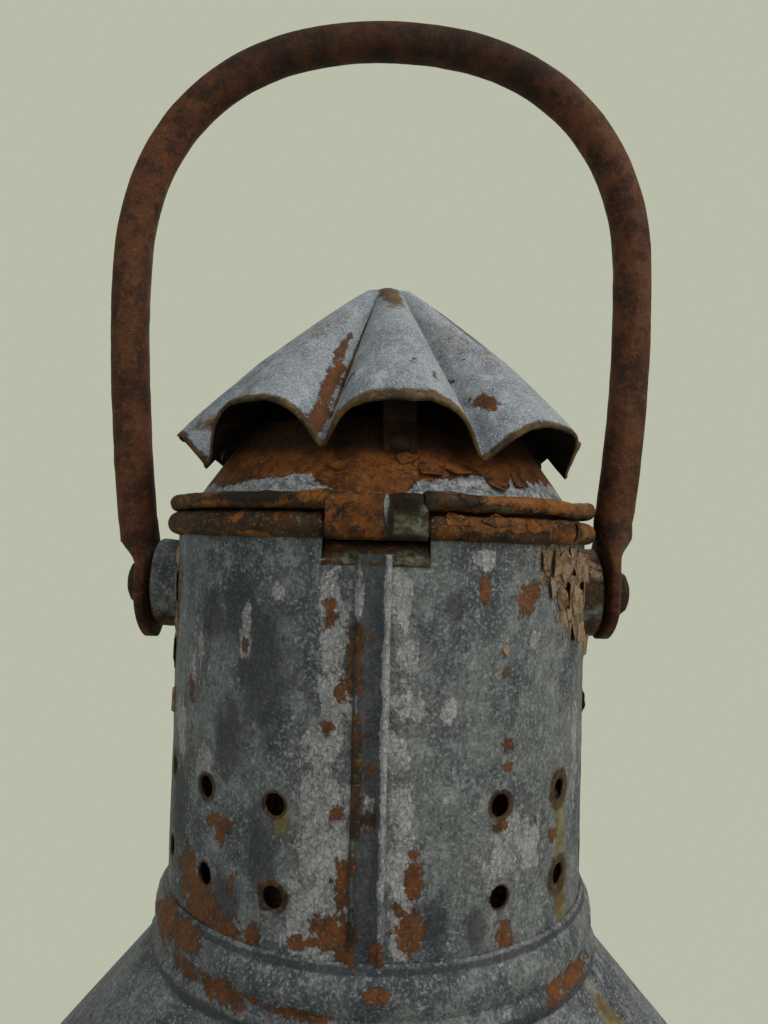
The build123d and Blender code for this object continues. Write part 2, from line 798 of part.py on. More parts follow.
# Bracket rivets: domed heads on the bracket feet, with flat tails inside the lid
rivet_top = solder_gap + plate
rivet_tail = -sheet - 2 * solder_gap
rivet_bulge = dome(bracket_rivet_radius, rivet_head_rise)
with BuildPart() as bracket_rivet:
    with BuildSketch(Plane.XZ):
        section(0, bracket_rivet_shank, rivet_tail - sheet, rivet_top)
        section(0, bracket_rivet_radius - sheet / 2, rivet_tail - sheet, rivet_tail)
        with BuildLine():
            Polyline((0, rivet_top + rivet_head_rise), (0, rivet_top), (bracket_rivet_radius, rivet_top))
            ThreePointArc(
                (bracket_rivet_radius, rivet_top),
                (rivet_bulge[0], rivet_top + rivet_bulge[1]),
                (0, rivet_top + rivet_head_rise),
            )
        make_face()
    revolve(axis=Axis.Z)
with BuildPart() as bracket_rivets:
    with Locations(*rivet_planes):
        add(bracket_rivet.part)
bracket_rivets.part.label = "bracket_rivets"
export_step(bracket_rivets.part, "parts/bracket_rivets.step")

# Bail bosses: dished pressings on the chimney's sides, which keep the bail off the wall
boss_face = chimney_radius + boss_height
with BuildPart() as bail_bosses:
    for side in (-1, 1):
        with BuildSketch(Plane.YZ.offset(side * chimney_bore)):
            with Locations((0, pivot_height)):
                Circle(boss_radius)
        extrude(amount=side * (boss_face - chimney_bore))
    fillet(bail_bosses.faces().filter_by(Axis.X).sort_by(Axis.X)[-1].edges(), boss_dish_depth)
    fillet(bail_bosses.faces().filter_by(Axis.X).sort_by(Axis.X)[0].edges(), boss_dish_depth)
    with Locations((0, 0, pivot_height)):
        Cylinder(chimney_radius + solder_gap, 2 * cutter, mode=Mode.SUBTRACT)
        Cylinder(pivot_radius + solder_gap, pivot_bore_length, rotation=(0, 90, 0), mode=Mode.SUBTRACT)
    for side in (-1, 1):
        with BuildSketch(Plane.YZ.offset(side * boss_face)):
            with Locations((0, pivot_height)):
                Circle(boss_radius - 2 * boss_dish_depth)
                Circle(boss_dish_radius, mode=Mode.SUBTRACT)
        extrude(amount=-side * boss_dish_depth / 2, mode=Mode.SUBTRACT)
bail_bosses.part.label = "bail_bosses"
export_step(bail_bosses.part, "parts/bail_bosses.step")

# Pivot washers: flat rings inside the chimney wall, under the rivets' tails
washer_face = sqrt(chimney_bore**2 - washer_radius**2) - solder_gap
with BuildPart() as pivot_washers:
    for side in (-1, 1):
        with BuildSketch(Plane.YZ.offset(side * washer_face)):
            with Locations((0, pivot_height)):
                Circle(washer_radius)
                Circle(pivot_radius + solder_gap, mode=Mode.SUBTRACT)
        extrude(amount=-side * plate)
pivot_washers.part.label = "pivot_washers"
export_step(pivot_washers.part, "parts/pivot_washers.step")

# Bail pivots: heavy rivets through paddle, boss, wall and washer, with domed heads outside
paddle_inner = boss_face + side_play
paddle_outer = paddle_inner + paddle_thickness
head_seat = paddle_outer + side_play
tail_seat = washer_face - plate
head_bulge = dome(pivot_head_radius, pivot_head_rise)
with BuildPart() as bail_pivots:
    for side in (-1, 1):
        with BuildSketch(Plane.XZ):
            with BuildLine():
                Polyline(
                    (side * (head_seat + pivot_head_rise), pivot_height),
                    (side * (tail_seat - pivot_tail_rise), pivot_height),
                    (side * (tail_seat - pivot_tail_rise), pivot_height + pivot_radius),
                    (side * tail_seat, pivot_height + pivot_tail_radius),
                    (side * tail_seat, pivot_height + pivot_radius),
                    (side * head_seat, pivot_height + pivot_radius),
                    (side * head_seat, pivot_height + pivot_head_radius),
                )
                ThreePointArc(
                    (side * head_seat, pivot_height + pivot_head_radius),
                    (side * (head_seat + head_bulge[1]), pivot_height + head_bulge[0]),
                    (side * (head_seat + pivot_head_rise), pivot_height),
                )
            make_face()
        revolve(axis=Axis((0, 0, pivot_height), (1, 0, 0)))
bail_pivots.part.label = "bail_pivots"
export_step(bail_pivots.part, "parts/bail_pivots.step")

# Bail: round rod in one run of arcs, with both ends forged flat into paddles
paddle_middle = (paddle_inner + paddle_outer) / 2
rod_foot = paddle_middle + rod_offset
bail_half_width = rod_foot + bail_leg_bow
arc_difference = bail_crown_radius - bail_shoulder_radius
crown_half_angle = degrees(asin((bail_half_width - bail_shoulder_radius) / arc_difference))
crown_centre = pivot_height + bail_reach - bail_crown_radius
bail_widest = crown_centre + arc_difference * cos(radians(crown_half_angle))
forge_top = pivot_height + paddle_radius + forge_length / 2
leg_height = bail_widest - forge_top
leg_radius = (leg_height**2 + bail_leg_bow**2) / (2 * bail_leg_bow)
leg_angle = degrees(asin(leg_height / leg_radius))
shoulder_centre = bail_half_width - bail_shoulder_radius
leg_centre = bail_half_width - leg_radius
taper_reach = paddle_radius * cos(radians(paddle_taper))
taper_height = pivot_height + paddle_radius * sin(radians(paddle_taper))
with BuildPart() as bail:
    with BuildLine(Plane.XZ) as bail_path:
        CenterArc((leg_centre, bail_widest), leg_radius, -leg_angle, leg_angle)
        CenterArc((shoulder_centre, bail_widest), bail_shoulder_radius, 0, 90 - crown_half_angle)
        CenterArc((0, crown_centre), bail_crown_radius, 90 - crown_half_angle, 2 * crown_half_angle)
        CenterArc(
            (-shoulder_centre, bail_widest),
            bail_shoulder_radius,
            90 + crown_half_angle,
            90 - crown_half_angle,
        )
        CenterArc((-leg_centre, bail_widest), leg_radius, 180, leg_angle)
    with BuildSketch(Plane(origin=bail_path.line @ 0, z_dir=bail_path.line % 0)):
        Circle(bail_rod_radius)
    sweep()
    for side in (-1, 1):
        with BuildSketch(Plane.YZ.offset(side * paddle_inner)):
            with Locations((0, pivot_height)):
                Circle(paddle_radius)
            Polygon(
                (-taper_reach, taper_height),
                (taper_reach, taper_height),
                (bail_rod_radius, forge_top - forge_length / 3),
                (-bail_rod_radius, forge_top - forge_length / 3),
                align=None,
            )
        extrude(amount=side * paddle_thickness)
        top_end = bail_path.line @ (0 if side > 0 else 1)
        along = bail_path.line % (0 if side > 0 else 1)
        with BuildSketch(Plane(origin=top_end, x_dir=(0, 1, 0), z_dir=(along.X, 0, abs(along.Z)))):
            Circle(bail_rod_radius)
        with BuildSketch(
            Plane(
                origin=(side * paddle_middle, 0, forge_top - forge_length),
                x_dir=(0, 1, 0),
                z_dir=(0, 0, 1),
            )
        ):
            Ellipse(forge_half_width, paddle_thickness / 2 - solder_gap)
        loft()
    with Locations((0, 0, pivot_height)):
        Cylinder(pivot_radius + pivot_play, pivot_bore_length, rotation=(0, 90, 0), mode=Mode.SUBTRACT)
bail.part.label = "bail"
export_step(bail.part, "parts/bail.step")

# Font seat: flared ring on the base floor that centres the font as it is lowered
seat_inner = font_radius + seat_play
seat_top = floor_top + seat_height
with BuildPart() as font_seat:
    with BuildSketch(Plane.XZ):
        section(seat_inner, seat_inner + sheet, floor_top, seat_top)
        section(seat_inner, seat_inner + seat_flange, floor_top, floor_top + sheet)
        Polygon(
            (seat_inner, seat_top),
            (seat_inner + seat_flare, seat_top + seat_flare),
            (seat_inner + seat_flare + sheet, seat_top + seat_flare),
            (seat_inner + sheet, seat_top),
            align=None,
        )
    revolve(axis=Axis.Z)
font_seat.part.label = "font_seat"
export_step(font_seat.part, "parts/font_seat.step")

# Font tank: drawn drum with a recessed bottom, for the oil
font_top = floor_top + font_height
collar_outer = collar_bore_radius + collar_wall
font_mouth = collar_outer - 2 * sheet
with BuildPart() as font_tank:
    with BuildSketch(Plane.XZ):
        section(0, font_radius - sheet, floor_top + font_recess, floor_top + font_recess + sheet)
        section(font_radius - sheet, font_radius, floor_top, font_top - font_shoulder)
    revolve(axis=Axis.Z)
font_tank.part.label = "font_tank"
export_step(font_tank.part, "parts/font_tank.step")

with BuildPart() as font_head:
    with BuildSketch(Plane.XZ):
        section(font_mouth, font_radius - font_shoulder, font_top - sheet, font_top)
        Polygon(
            (font_radius, font_top - font_shoulder),
            (font_radius - font_shoulder, font_top),
            (font_radius - font_shoulder, font_top - sheet),
            (font_radius - sheet, font_top - font_shoulder),
            align=None,
        )
    revolve(axis=Axis.Z)
    with Locations((-filler_offset, 0, font_top)):
        Cylinder(filler_neck_radius + solder_gap, cutter, mode=Mode.SUBTRACT)
font_head.part.label = "font_head"
export_step(font_head.part, "parts/font_head.step")

# Lifting loop: stiff wire over the burner, high enough to be reached down the chimney
with BuildPart() as lifting_loop:
    with BuildLine(Plane.YZ) as loop_path:
        loop_spring = font_top + loop_height - loop_half_span
        Line((-loop_half_span, font_top), (-loop_half_span, loop_spring))
        ThreePointArc(
            (-loop_half_span, loop_spring), (0, loop_spring + loop_half_span), (loop_half_span, loop_spring)
        )
        Line((loop_half_span, loop_spring), (loop_half_span, font_top))
    with BuildSketch(Plane(origin=loop_path.line @ 0, z_dir=loop_path.line % 0)):
        Circle(loop_wire_radius)
    sweep()
    with BuildSketch(Plane.XY.offset(font_top)):
        with Locations((0, -loop_half_span), (0, loop_half_span)):
            Circle(loop_foot_radius)
    extrude(amount=plate)
lifting_loop.part.label = "lifting_loop"
export_step(lifting_loop.part, "parts/lifting_loop.step")

# Filler neck: short tube with a flange, soldered into the tank's top
neck_top = font_top + filler_neck_height
with BuildPart() as filler_neck:
    with BuildSketch(Plane.XY.offset(font_top - 3 * sheet)):
        with Locations((-filler_offset, 0)):
            Circle(filler_neck_radius)
    extrude(amount=neck_top - font_top + 3 * sheet)
    with BuildSketch(Plane.XY.offset(font_top)):
        with Locations((-filler_offset, 0)):
            Circle(filler_neck_radius + 2 * sheet)
    extrude(amount=sheet)
    with Locations((-filler_offset, 0, font_top)):
        Cylinder(filler_bore_radius, cutter, mode=Mode.SUBTRACT)
filler_neck.part.label = "filler_neck"
export_step(filler_neck.part, "parts/filler_neck.step")

# Filler cap: turned cup with finger grooves, screwed over the neck
cap_bore = filler_neck_radius + filler_cap_play
cap_outer = cap_bore + filler_cap_wall
cap_underside = neck_top + side_play + filler_washer_thickness
with BuildPart() as filler_cap:
    with BuildSketch(Plane.XY.offset(font_top + filler_lift)):
        with Locations((-filler_offset, 0)):
            Circle(cap_outer)
    extrude(amount=cap_underside + filler_cap_top - font_top - filler_lift)
    chamfer(filler_cap.edges().group_by(Axis.Z)[-1], filler_cap_top / 4)
    with Locations((-filler_offset, 0, cap_underside)):
        Cylinder(
            cap_bore, cutter, align=(Align.CENTER, Align.CENTER, Align.MAX), mode=Mode.SUBTRACT
        )
        with PolarLocations(cap_outer, filler_groove_count):
            Cylinder(filler_groove_radius, cutter, mode=Mode.SUBTRACT)
filler_cap.part.label = "filler_cap"
export_step(filler_cap.part, "parts/filler_cap.step")

# Filler washer: seals the cap on the neck
with BuildPart() as filler_washer:
    with BuildSketch(Plane.XY.offset(neck_top + side_play)):
        with Locations((-filler_offset, 0)):
            Circle(filler_neck_radius)
            Circle(filler_bore_radius - sheet, mode=Mode.SUBTRACT)
    extrude(amount=filler_washer_thickness)
filler_washer.part.label = "filler_washer"
export_step(filler_washer.part, "parts/filler_washer.step")

# Burner collar: brass ring in the tank's mouth, which the burner sits on
gallery_foot = font_top + collar_rise
with BuildPart() as burner_collar:
    with BuildSketch(Plane.XZ):
        section(collar_bore_radius, collar_outer, font_top, gallery_foot)
        section(collar_bore_radius, font_mouth - solder_gap, font_top - 3 * sheet, font_top)
    revolve(axis=Axis.Z)
burner_collar.part.label = "burner_collar"
export_step(burner_collar.part, "parts/burner_collar.step")

# Wick and spindle places, which the burner's parts share
wick_half = wick_thickness / 2
tube_bore_half = wick_half + wick_play
tube_half = tube_bore_half + sheet
tube_half_width = wick_width / 2 + wick_play + sheet
tube_top = gallery_foot + tube_height
spindle_place = -(wick_half + wick_wheel_gap + wick_wheel_radius)
spindle_height = gallery_foot + spindle_rise
gallery_top = gallery_foot + gallery_height

# Gallery: perforated brass cup that feeds air to the flame and bears the spindle
with BuildPart() as gallery:
    with BuildSketch(Plane.XZ):
        section(0, gallery_radius, gallery_foot, gallery_foot + sheet)
        section(gallery_radius - sheet, gallery_radius, gallery_foot, gallery_top)
        section(gallery_radius - sheet, gallery_radius + gallery_lip, gallery_top - sheet, gallery_top)
    revolve(axis=Axis.Z)
    with Locations((0, 0, gallery_foot)):
        Box(
            2 * (tube_half_width + solder_gap),
            2 * (tube_half + solder_gap),
            cutter,
            mode=Mode.SUBTRACT,
        )
    with Locations((0, 0, (gallery_foot + spindle_height) / 2)):
        with PolarLocations(gallery_radius, gallery_hole_count, start_angle=180 / gallery_hole_count):
            Cylinder(gallery_hole_radius, cutter, rotation=(0, 90, 0), mode=Mode.SUBTRACT)
    with Locations((0, spindle_place, spindle_height)):
        Cylinder(
            spindle_radius + spindle_play, 3 * gallery_radius, rotation=(0, 90, 0), mode=Mode.SUBTRACT
        )
gallery.part.label = "gallery"
export_step(gallery.part, "parts/gallery.step")

# Wick tube: flat brass tube with windows for the toothed wheels
with BuildPart() as wick_tube:
    with BuildSketch(Plane.XY.offset(font_top - tube_dip)):
        Rectangle(2 * tube_half_width, 2 * tube_half)
        Rectangle(2 * (tube_half_width - sheet), 2 * tube_bore_half, mode=Mode.SUBTRACT)
    extrude(amount=tube_top - font_top + tube_dip)
    with Locations((0, -tube_half, spindle_height)):
        with GridLocations(wick_wheel_spacing, 1, 2, 1):
            Box(2 * wick_wheel_width, 3 * sheet, 2 * wick_wheel_radius, mode=Mode.SUBTRACT)
wick_tube.part.label = "wick_tube"
export_step(wick_tube.part, "parts/wick_tube.step")

# Wick: flat woven cotton, up through the tube from the oil
with BuildPart() as wick:
    with BuildSketch(Plane.XY.offset(font_top - tube_dip - wick_tail)):
        Rectangle(wick_width, wick_thickness)
    extrude(amount=tube_top + wick_stand - font_top + tube_dip + wick_tail)
wick.part.label = "wick"
export_step(wick.part, "parts/wick.step")

# Flame dome: slotted cover that draws air across the wick
dome_inner = gallery_radius - sheet
dome_foot = gallery_top + dome_band
outer_bulge = dome(gallery_radius, dome_rise)
inner_bulge = dome(dome_inner, dome_rise - sheet)
with BuildPart() as flame_dome:
    with BuildSketch(Plane.XZ):
        with BuildLine():
            Polyline((dome_inner, gallery_top), (gallery_radius, gallery_top), (gallery_radius, dome_foot))
            ThreePointArc(
                (gallery_radius, dome_foot),
                (outer_bulge[0], dome_foot + outer_bulge[1]),
                (0, dome_foot + dome_rise),
            )
            Line((0, dome_foot + dome_rise), (0, dome_foot + dome_rise - sheet))
            ThreePointArc(
                (0, dome_foot + dome_rise - sheet),
                (inner_bulge[0], dome_foot + inner_bulge[1]),
                (dome_inner, dome_foot),
            )
            Line((dome_inner, dome_foot), (dome_inner, gallery_top))
        make_face()
    revolve(axis=Axis.Z)
    with Locations((0, 0, dome_foot + dome_rise)):
        Box(
            2 * (tube_half_width + dome_slot_play),
            2 * (tube_half + dome_slot_play),
            dome_rise,
            mode=Mode.SUBTRACT,
        )
flame_dome.part.label = "flame_dome"
export_step(flame_dome.part, "parts/flame_dome.step")

# Wick spindle: shaft with two toothed wheels that climb the wick
spindle_start = -gallery_radius - gallery_lip
knob_place = gallery_radius + knob_reach
with BuildPart() as wick_spindle:
    with BuildSketch(Plane.YZ.offset(spindle_start)):
        with Locations((spindle_place, spindle_height)):
            Circle(spindle_radius)
    extrude(amount=knob_place + knob_width - spindle_start)
    for side in (-1, 1):
        wheel_start = side * wick_wheel_spacing / 2 - wick_wheel_width / 2
        with BuildSketch(Plane.YZ.offset(wheel_start)):
            with Locations((spindle_place, spindle_height)):
                Circle(wick_wheel_radius)
                with PolarLocations(wick_wheel_radius, wick_wheel_teeth):
                    Circle(wick_tooth_depth, mode=Mode.SUBTRACT)
        extrude(amount=wick_wheel_width)
wick_spindle.part.label = "wick_spindle"
export_step(wick_spindle.part, "parts/wick_spindle.step")

# Wick knob: knurled brass disc on the spindle's end
with BuildPart() as wick_knob:
    with BuildSketch(Plane.YZ.offset(knob_place)):
        with Locations((spindle_place, spindle_height)):
            Circle(knob_radius)
            Circle(spindle_radius + solder_gap, mode=Mode.SUBTRACT)
            with PolarLocations(knob_radius, knob_groove_count):
                Circle(knob_groove_radius, mode=Mode.SUBTRACT)
    extrude(amount=knob_width)
wick_knob.part.label = "wick_knob"
export_step(wick_knob.part, "parts/wick_knob.step")
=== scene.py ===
# %% [markdown]
# # An old ship's lantern
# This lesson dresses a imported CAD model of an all-round oil lantern. The CAD model gives the sizes,
# the places and the moving bodies, and Blender gives the worn look of old zinc, red lead and rust.
# Sizes are written in millimetres, as on a drawing, and turned to metres where a mesh is made.

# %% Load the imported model
import math

import bmesh
import bpy
import numpy as np
from mathutils import Matrix, Vector, noise


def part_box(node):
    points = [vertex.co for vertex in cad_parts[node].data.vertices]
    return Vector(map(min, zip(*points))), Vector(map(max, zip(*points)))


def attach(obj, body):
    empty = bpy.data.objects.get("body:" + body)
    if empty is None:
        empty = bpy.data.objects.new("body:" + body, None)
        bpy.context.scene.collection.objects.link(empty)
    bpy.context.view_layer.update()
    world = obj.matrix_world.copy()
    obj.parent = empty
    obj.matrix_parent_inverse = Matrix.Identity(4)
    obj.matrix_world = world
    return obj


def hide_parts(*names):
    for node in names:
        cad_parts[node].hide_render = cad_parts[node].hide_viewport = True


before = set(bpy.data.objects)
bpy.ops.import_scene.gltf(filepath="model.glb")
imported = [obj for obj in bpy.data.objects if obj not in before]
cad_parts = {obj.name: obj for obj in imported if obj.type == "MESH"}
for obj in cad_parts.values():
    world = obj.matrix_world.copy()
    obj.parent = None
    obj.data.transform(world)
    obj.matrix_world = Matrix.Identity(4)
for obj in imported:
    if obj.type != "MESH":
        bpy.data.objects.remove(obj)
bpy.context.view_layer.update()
MM = 0.001

# %% [markdown]
# ## Helpers for shapes
# Sheet metal work is mostly turned or rolled, so most pieces are rows of points that go round the
# lantern's axis. A row-by-row skin keeps the faces square and even, which takes dents well. The
# alternative, a boolean on a coarse cylinder, leaves long thin faces that show every dent as a crease.


# %% Places and soft steps
def around(radius, azimuth, height):
    """A point at an azimuth in degrees, 0 at the hinge side (-Y) and growing towards +X."""
    turn = math.radians(azimuth)
    return radius * math.sin(turn), -radius * math.cos(turn), height


def aside(azimuth, middle):
    """How far an azimuth lies from a middle one, from -180 to 180 degrees."""
    return (azimuth - middle + 180) % 360 - 180


def limited(value):
    """A value kept between 0 and 1."""
    return min(1.0, max(0.0, value))


def eased(value):
    """A value kept between 0 and 1, with a soft start and a soft end."""
    return limited(value) ** 2 * (3 - 2 * limited(value))


def hump(value, middle, width, power=2):
    """1 at a middle value, falling smoothly towards 0 beyond a width to either side."""
    return math.exp(-(((value - middle) / width) ** power))


def rough(point, size, octaves=4, seed=0.0):
    """Smooth random value near -1 to 1 at a point, for a pattern of a size in millimetres."""
    place = Vector((point[0] / size + seed, point[1] / size - seed, point[2] / size + 2 * seed))
    return noise.fractal(place, 1.0, 2.0, octaves)


print("57 mm out and 20 degrees round:", [round(c, 1) for c in around(57, 20, 0)])


# %% Skins and pieces
def skin_faces(row_count, column_count, wrap_columns=True, wrap_rows=False, capped=False):
    """Four-sided faces over rows of points, closed round the columns or the rows where asked. Capped,
    the first and the last row are each filled with one face."""
    faces = []
    for row in range(row_count if wrap_rows else row_count - 1):
        low, high = row * column_count, (row + 1) % row_count * column_count
        for column in range(column_count if wrap_columns else column_count - 1):
            following = (column + 1) % column_count
            faces.append((low + column, low + following, high + following, high + column))
    if capped:
        last = (row_count - 1) * column_count
        faces += [tuple(range(column_count)), tuple(range(last, last + column_count))]
    return faces


def nearness(places, marks, radius):
    """1 at the middle of the nearest mark, 0.5 on its edge, and 0 well outside every mark."""
    azimuths = np.degrees(np.arctan2(places[:, 0], -places[:, 1]))
    best = np.zeros(len(places))
    for azimuth, height, half_width, half_height in marks:
        sideways = np.radians(aside(azimuths, azimuth)) * radius / half_width
        best = np.maximum(best, 1 - 0.5 * np.hypot(sideways, (places[:, 2] - height) / half_height))
    return best


def add_piece(name, points, faces, body, finish, stands_for=None, crease=38, wear=None, marks=None,
              mark_radius=57.0, turn_outwards=True):
    """Makes a mesh from points in millimetres, stores its wear, and lets it ride on a body."""
    places = np.asarray([tuple(point) for point in points], float)
    mesh = bpy.data.meshes.new(name)
    mesh.from_pydata((places * MM).tolist(), [], faces)
    stored = dict(wear or {})
    for kind, kind_marks in (marks or {}).items():
        stored[kind] = nearness(places, kind_marks, mark_radius)
    for kind, values in stored.items():
        attribute = mesh.attributes.new(kind, "FLOAT", "POINT")
        attribute.data.foreach_set("value", np.asarray(values, np.float32))
    work = bmesh.new()
    work.from_mesh(mesh)
    bmesh.ops.delete(work, geom=[v for v in work.verts if not v.link_faces], context="VERTS")
    if turn_outwards:
        bmesh.ops.recalc_face_normals(work, faces=work.faces)
    work.to_mesh(mesh)
    work.free()
    mesh.shade_smooth()
    mesh.set_sharp_from_angle(angle=math.radians(crease))
    mesh.materials.append(finish)
    piece = bpy.data.objects.new(name, mesh)
    bpy.context.scene.collection.objects.link(piece)
    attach(piece, body)
    if stands_for:
        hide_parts(stands_for)
    return piece


def thicken(piece, thickness, inside):
    """Gives a sheet its thickness in millimetres, inwards, and a finish of its own on the inside."""
    piece.data.materials.append(inside)
    sheet = piece.modifiers.new("sheet thickness", "SOLIDIFY")
    sheet.thickness = thickness * MM
    sheet.offset = -1
    sheet.material_offset = 1


print("faces of a small capped tube:", len(skin_faces(3, 8, capped=True)))

# %% [markdown]
# ## Sizes from the drawing
# The imported model already gives every node's box. What a box can't say, such as a bead's thickness, is
# written here once in millimetres. Sizes that only one piece needs stand with that piece.

# %% Sizes in millimetres
SHEET = 0.8
BARREL_RADIUS = 57.0
RIM_RADIUS, RIM_HEIGHT, RIM_BEAD = 56.85, 404.5, 3.0
PIVOT_HEIGHT = 387.9
BARREL_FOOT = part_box("chimney")[0].z / MM
COLLAR_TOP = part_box("collar")[1].z / MM
NOTCH_LEFT, NOTCH_RIGHT, NOTCH_FLOOR = -12.9, 10.5, 397.5
print("barrel from", round(BARREL_FOOT, 1), "to the rim at", RIM_HEIGHT)

# %% [markdown]
# ## Where the wear lies
# On the real lantern the red lead primer survives in islands, a chalky strip runs down beside the
# seam, and rust and lichen start at the air holes. Each mark here is a soft ellipse with an azimuth,
# a height and two half sizes. The marks are stored on the mesh as a number per point, and the
# materials later break their edges up with fine noise. Painting by hand would need an image.

# %% Marks on the barrel: azimuth, height, half width, half height
BARREL_WEAR = {
    "red_lead": [
        (-11.2, 387.7, 1.3, 1.4), (-11.1, 384.2, 1.4, 1.9), (-6, 374.4, 1.4, 8), (-8.6, 367.8, 1, 3.2),
        (-11.1, 360.1, 1.5, 2.3), (-8.5, 341.7, 1.7, 1.8), (24.7, 390.8, 1.5, 3.2), (36.5, 388, 3, 3.4),
        (38.9, 390.3, 2.8, 2.5), (32, 355.3, 1.6, 1.9), (32.1, 350.6, 1.5, 1.2), (30.7, 372.2, 1.1, 1.1),
        (-33, 376.8, 0.9, 1.6), (-76, 386, 6.5, 13.5), (-54.1, 363.8, 1.5, 3), (-39.9, 335, 4.6, 1.8),
        (-39.5, 332.3, 1.8, 2.9), (-53.5, 319.2, 4.6, 6.5), (-47, 313.9, 7, 7), (-40.5, 309, 8.5, 6.2),
        (-35.5, 321.5, 1.3, 2.8), (-28.5, 311.5, 2.1, 3.2), (-16.8, 312.7, 3.2, 1.8), (-10.6, 316.2, 3.9, 3.6),
        (-6.8, 327.8, 2.4, 3.4), (-6.9, 323.3, 1.6, 1.8), (-6.2, 313.5, 2, 6.5), (8.5, 333.5, 1.7, 1.2),
        (8.9, 327.6, 2, 4.2), (7.8, 316.7, 3.2, 5.4), (5.8, 321, 1.2, 2.2), (30.1, 337.4, 2.4, 1),
        (32, 312.5, 2.4, 4), (49, 331.9, 2, 1.7), (78, 392, 7, 8), (88, 372, 4, 9),
    ],
    "flaking": [
        (51.5, 396.5, 11, 5.4), (57.5, 388.5, 8, 8.5), (66, 391, 8, 12), (130, 390, 6, 6), (203, 382, 5, 7),
    ],
    "chalk": [
        (-11, 389, 2.2, 5.5), (-9.8, 378.5, 3.6, 6), (-9.9, 368, 4.2, 8), (-10.6, 357, 5.2, 9), (-12, 345, 6.8, 9),
        (-11.8, 333, 6.8, 8.5), (-11.8, 321, 6.6, 8), (-13.5, 312.5, 6, 4.5), (3.9, 391, 3.1, 8.5),
        (6.2, 375, 2.8, 4), (7, 365.5, 3.4, 4.2), (4.6, 354, 3.3, 5), (5.4, 343, 2.9, 7), (5.6, 330, 3.3, 9),
        (5.4, 317, 3.2, 6.5), (34.4, 332, 8.5, 6.5), (-53.2, 370, 1.6, 6), (-50, 374, 1.3, 4),
        (-46.8, 347.5, 3.4, 4), (-61, 354, 5.6, 8), (-33, 383, 1.6, 3.6), (-32.6, 377, 1.7, 3),
        (23.5, 398, 3.9, 2.6), (40, 379, 2, 2), (-24, 390, 2, 2.6), (62, 352, 3, 12), (16, 364, 2, 2.4),
    ],
    "dark": [
        (-34.8, 384, 6.5, 9), (-37.7, 355.5, 5, 9), (-45, 383, 5, 6), (-37.4, 318, 4.7, 6), (-28, 372, 7, 16),
        (-27, 330, 4, 10), (17, 387, 2.4, 3), (14, 318, 3, 6), (24, 316, 3, 5), (-62, 335, 6, 12),
    ],
    "lichen": [
        (52.8, 333, 2.4, 13), (53.8, 316, 2.8, 12), (-21.5, 339, 2, 3.5), (50.5, 345, 1.4, 3),
    ],
}
print("marks on the barrel:", {kind: len(marks) for kind, marks in BARREL_WEAR.items()})

# %% [markdown]
# ## Camera
# The photograph was taken close up with a wide lens, a little below the cap and tilted up by about
# two degrees, so the bail's legs splay and the shoulder is seen from above. A longer lens from
# farther away would frame the lantern the same way but would lose that splay.

# %% Place the camera
CAMERA_PLACE, LENS_MM, SENSOR_MM = (0, -240 * MM, 402 * MM), 29.25, 36
PITCH, ROLL, YAW = math.radians(1.82), 0.024, -0.0016
camera_data = bpy.data.cameras.new("camera")
camera_data.lens = LENS_MM
camera_data.sensor_width = SENSOR_MM
camera = bpy.data.objects.new("camera", camera_data)
camera.matrix_world = (
    Matrix.Translation(CAMERA_PLACE)
    @ Matrix.Rotation(YAW, 4, "Z")
    @ Matrix.Rotation(math.pi / 2 + PITCH, 4, "X")
    @ Matrix.Rotation(ROLL, 4, "Z")
)
bpy.context.scene.collection.objects.link(camera)
bpy.context.scene.camera = camera
print("camera at", [round(c, 3) for c in camera.location])

# %% [markdown]
# ## Colours and nodes
# Colours are written as the hex codes a paint chart uses. Shaders work with linear light, so one
# function converts them. A second small function adds a node with its settings and links, which
# keeps a long material readable from top to bottom.


# %% Colour and node helpers
def linear(code):
    """The linear colour of an sRGB hex code, with full opacity."""
    channels = [int(code[place : place + 2], 16) / 255 for place in (0, 2, 4)]
    return (*(c / 12.92 if c <= 0.04045 else ((c + 0.055) / 1.055) ** 2.4 for c in channels), 1.0)


def add_node(tree, kind, inputs=None, **settings):
    """Adds a node, sets its properties, and sets or links its inputs by name or number."""
    node = tree.nodes.new(kind)
    for name, value in settings.items():
        setattr(node, name, value)
    for key, value in (inputs or {}).items():
        if isinstance(value, bpy.types.NodeSocket):
            tree.links.new(value, node.inputs[key])
        else:
            node.inputs[key].default_value = value
    return node


def new_finish(name, **sockets):
    """A material with an empty tree but for its shader, whose plain numbers are set here."""
    material = bpy.data.materials.new(name)
    material.use_nodes = True
    tree = material.node_tree
    shader = tree.nodes["Principled BSDF"]
    for socket, value in sockets.items():
        shader.inputs[socket.replace("_", " ")].default_value = value
    return material, tree, shader


print("mid grey in linear light:", [round(c, 3) for c in linear("808080")])

# %% [markdown]
# ## Patterns, coats and relief
# Old metal is read in layers: a ground colour, patches of other colours over it, and a relief that
# follows the same patches. So a finish here is a list of coats, each with the pattern that says
# where it shows, and a list of reliefs in millimetres. Every pattern's size is in millimetres too.


# %% Patterns and masks
def pattern(tree, size_mm, detail=4.0, roughness=0.55, stretch=1.0, seed=0.0):
    """Noise from 0 to 1 whose lumps are about a size in millimetres, stretched along Z if asked."""
    place = add_node(tree, "ShaderNodeTexCoord").outputs["Object"]
    moved = add_node(
        tree, "ShaderNodeMapping", {"Vector": place, "Location": (seed, seed, seed), "Scale": (1, 1, 1 / stretch)}
    ).outputs[0]
    spots = {"Vector": moved, "Scale": 1000 / size_mm, "Detail": detail, "Roughness": roughness}
    return add_node(tree, "ShaderNodeTexNoise", spots).outputs[0]


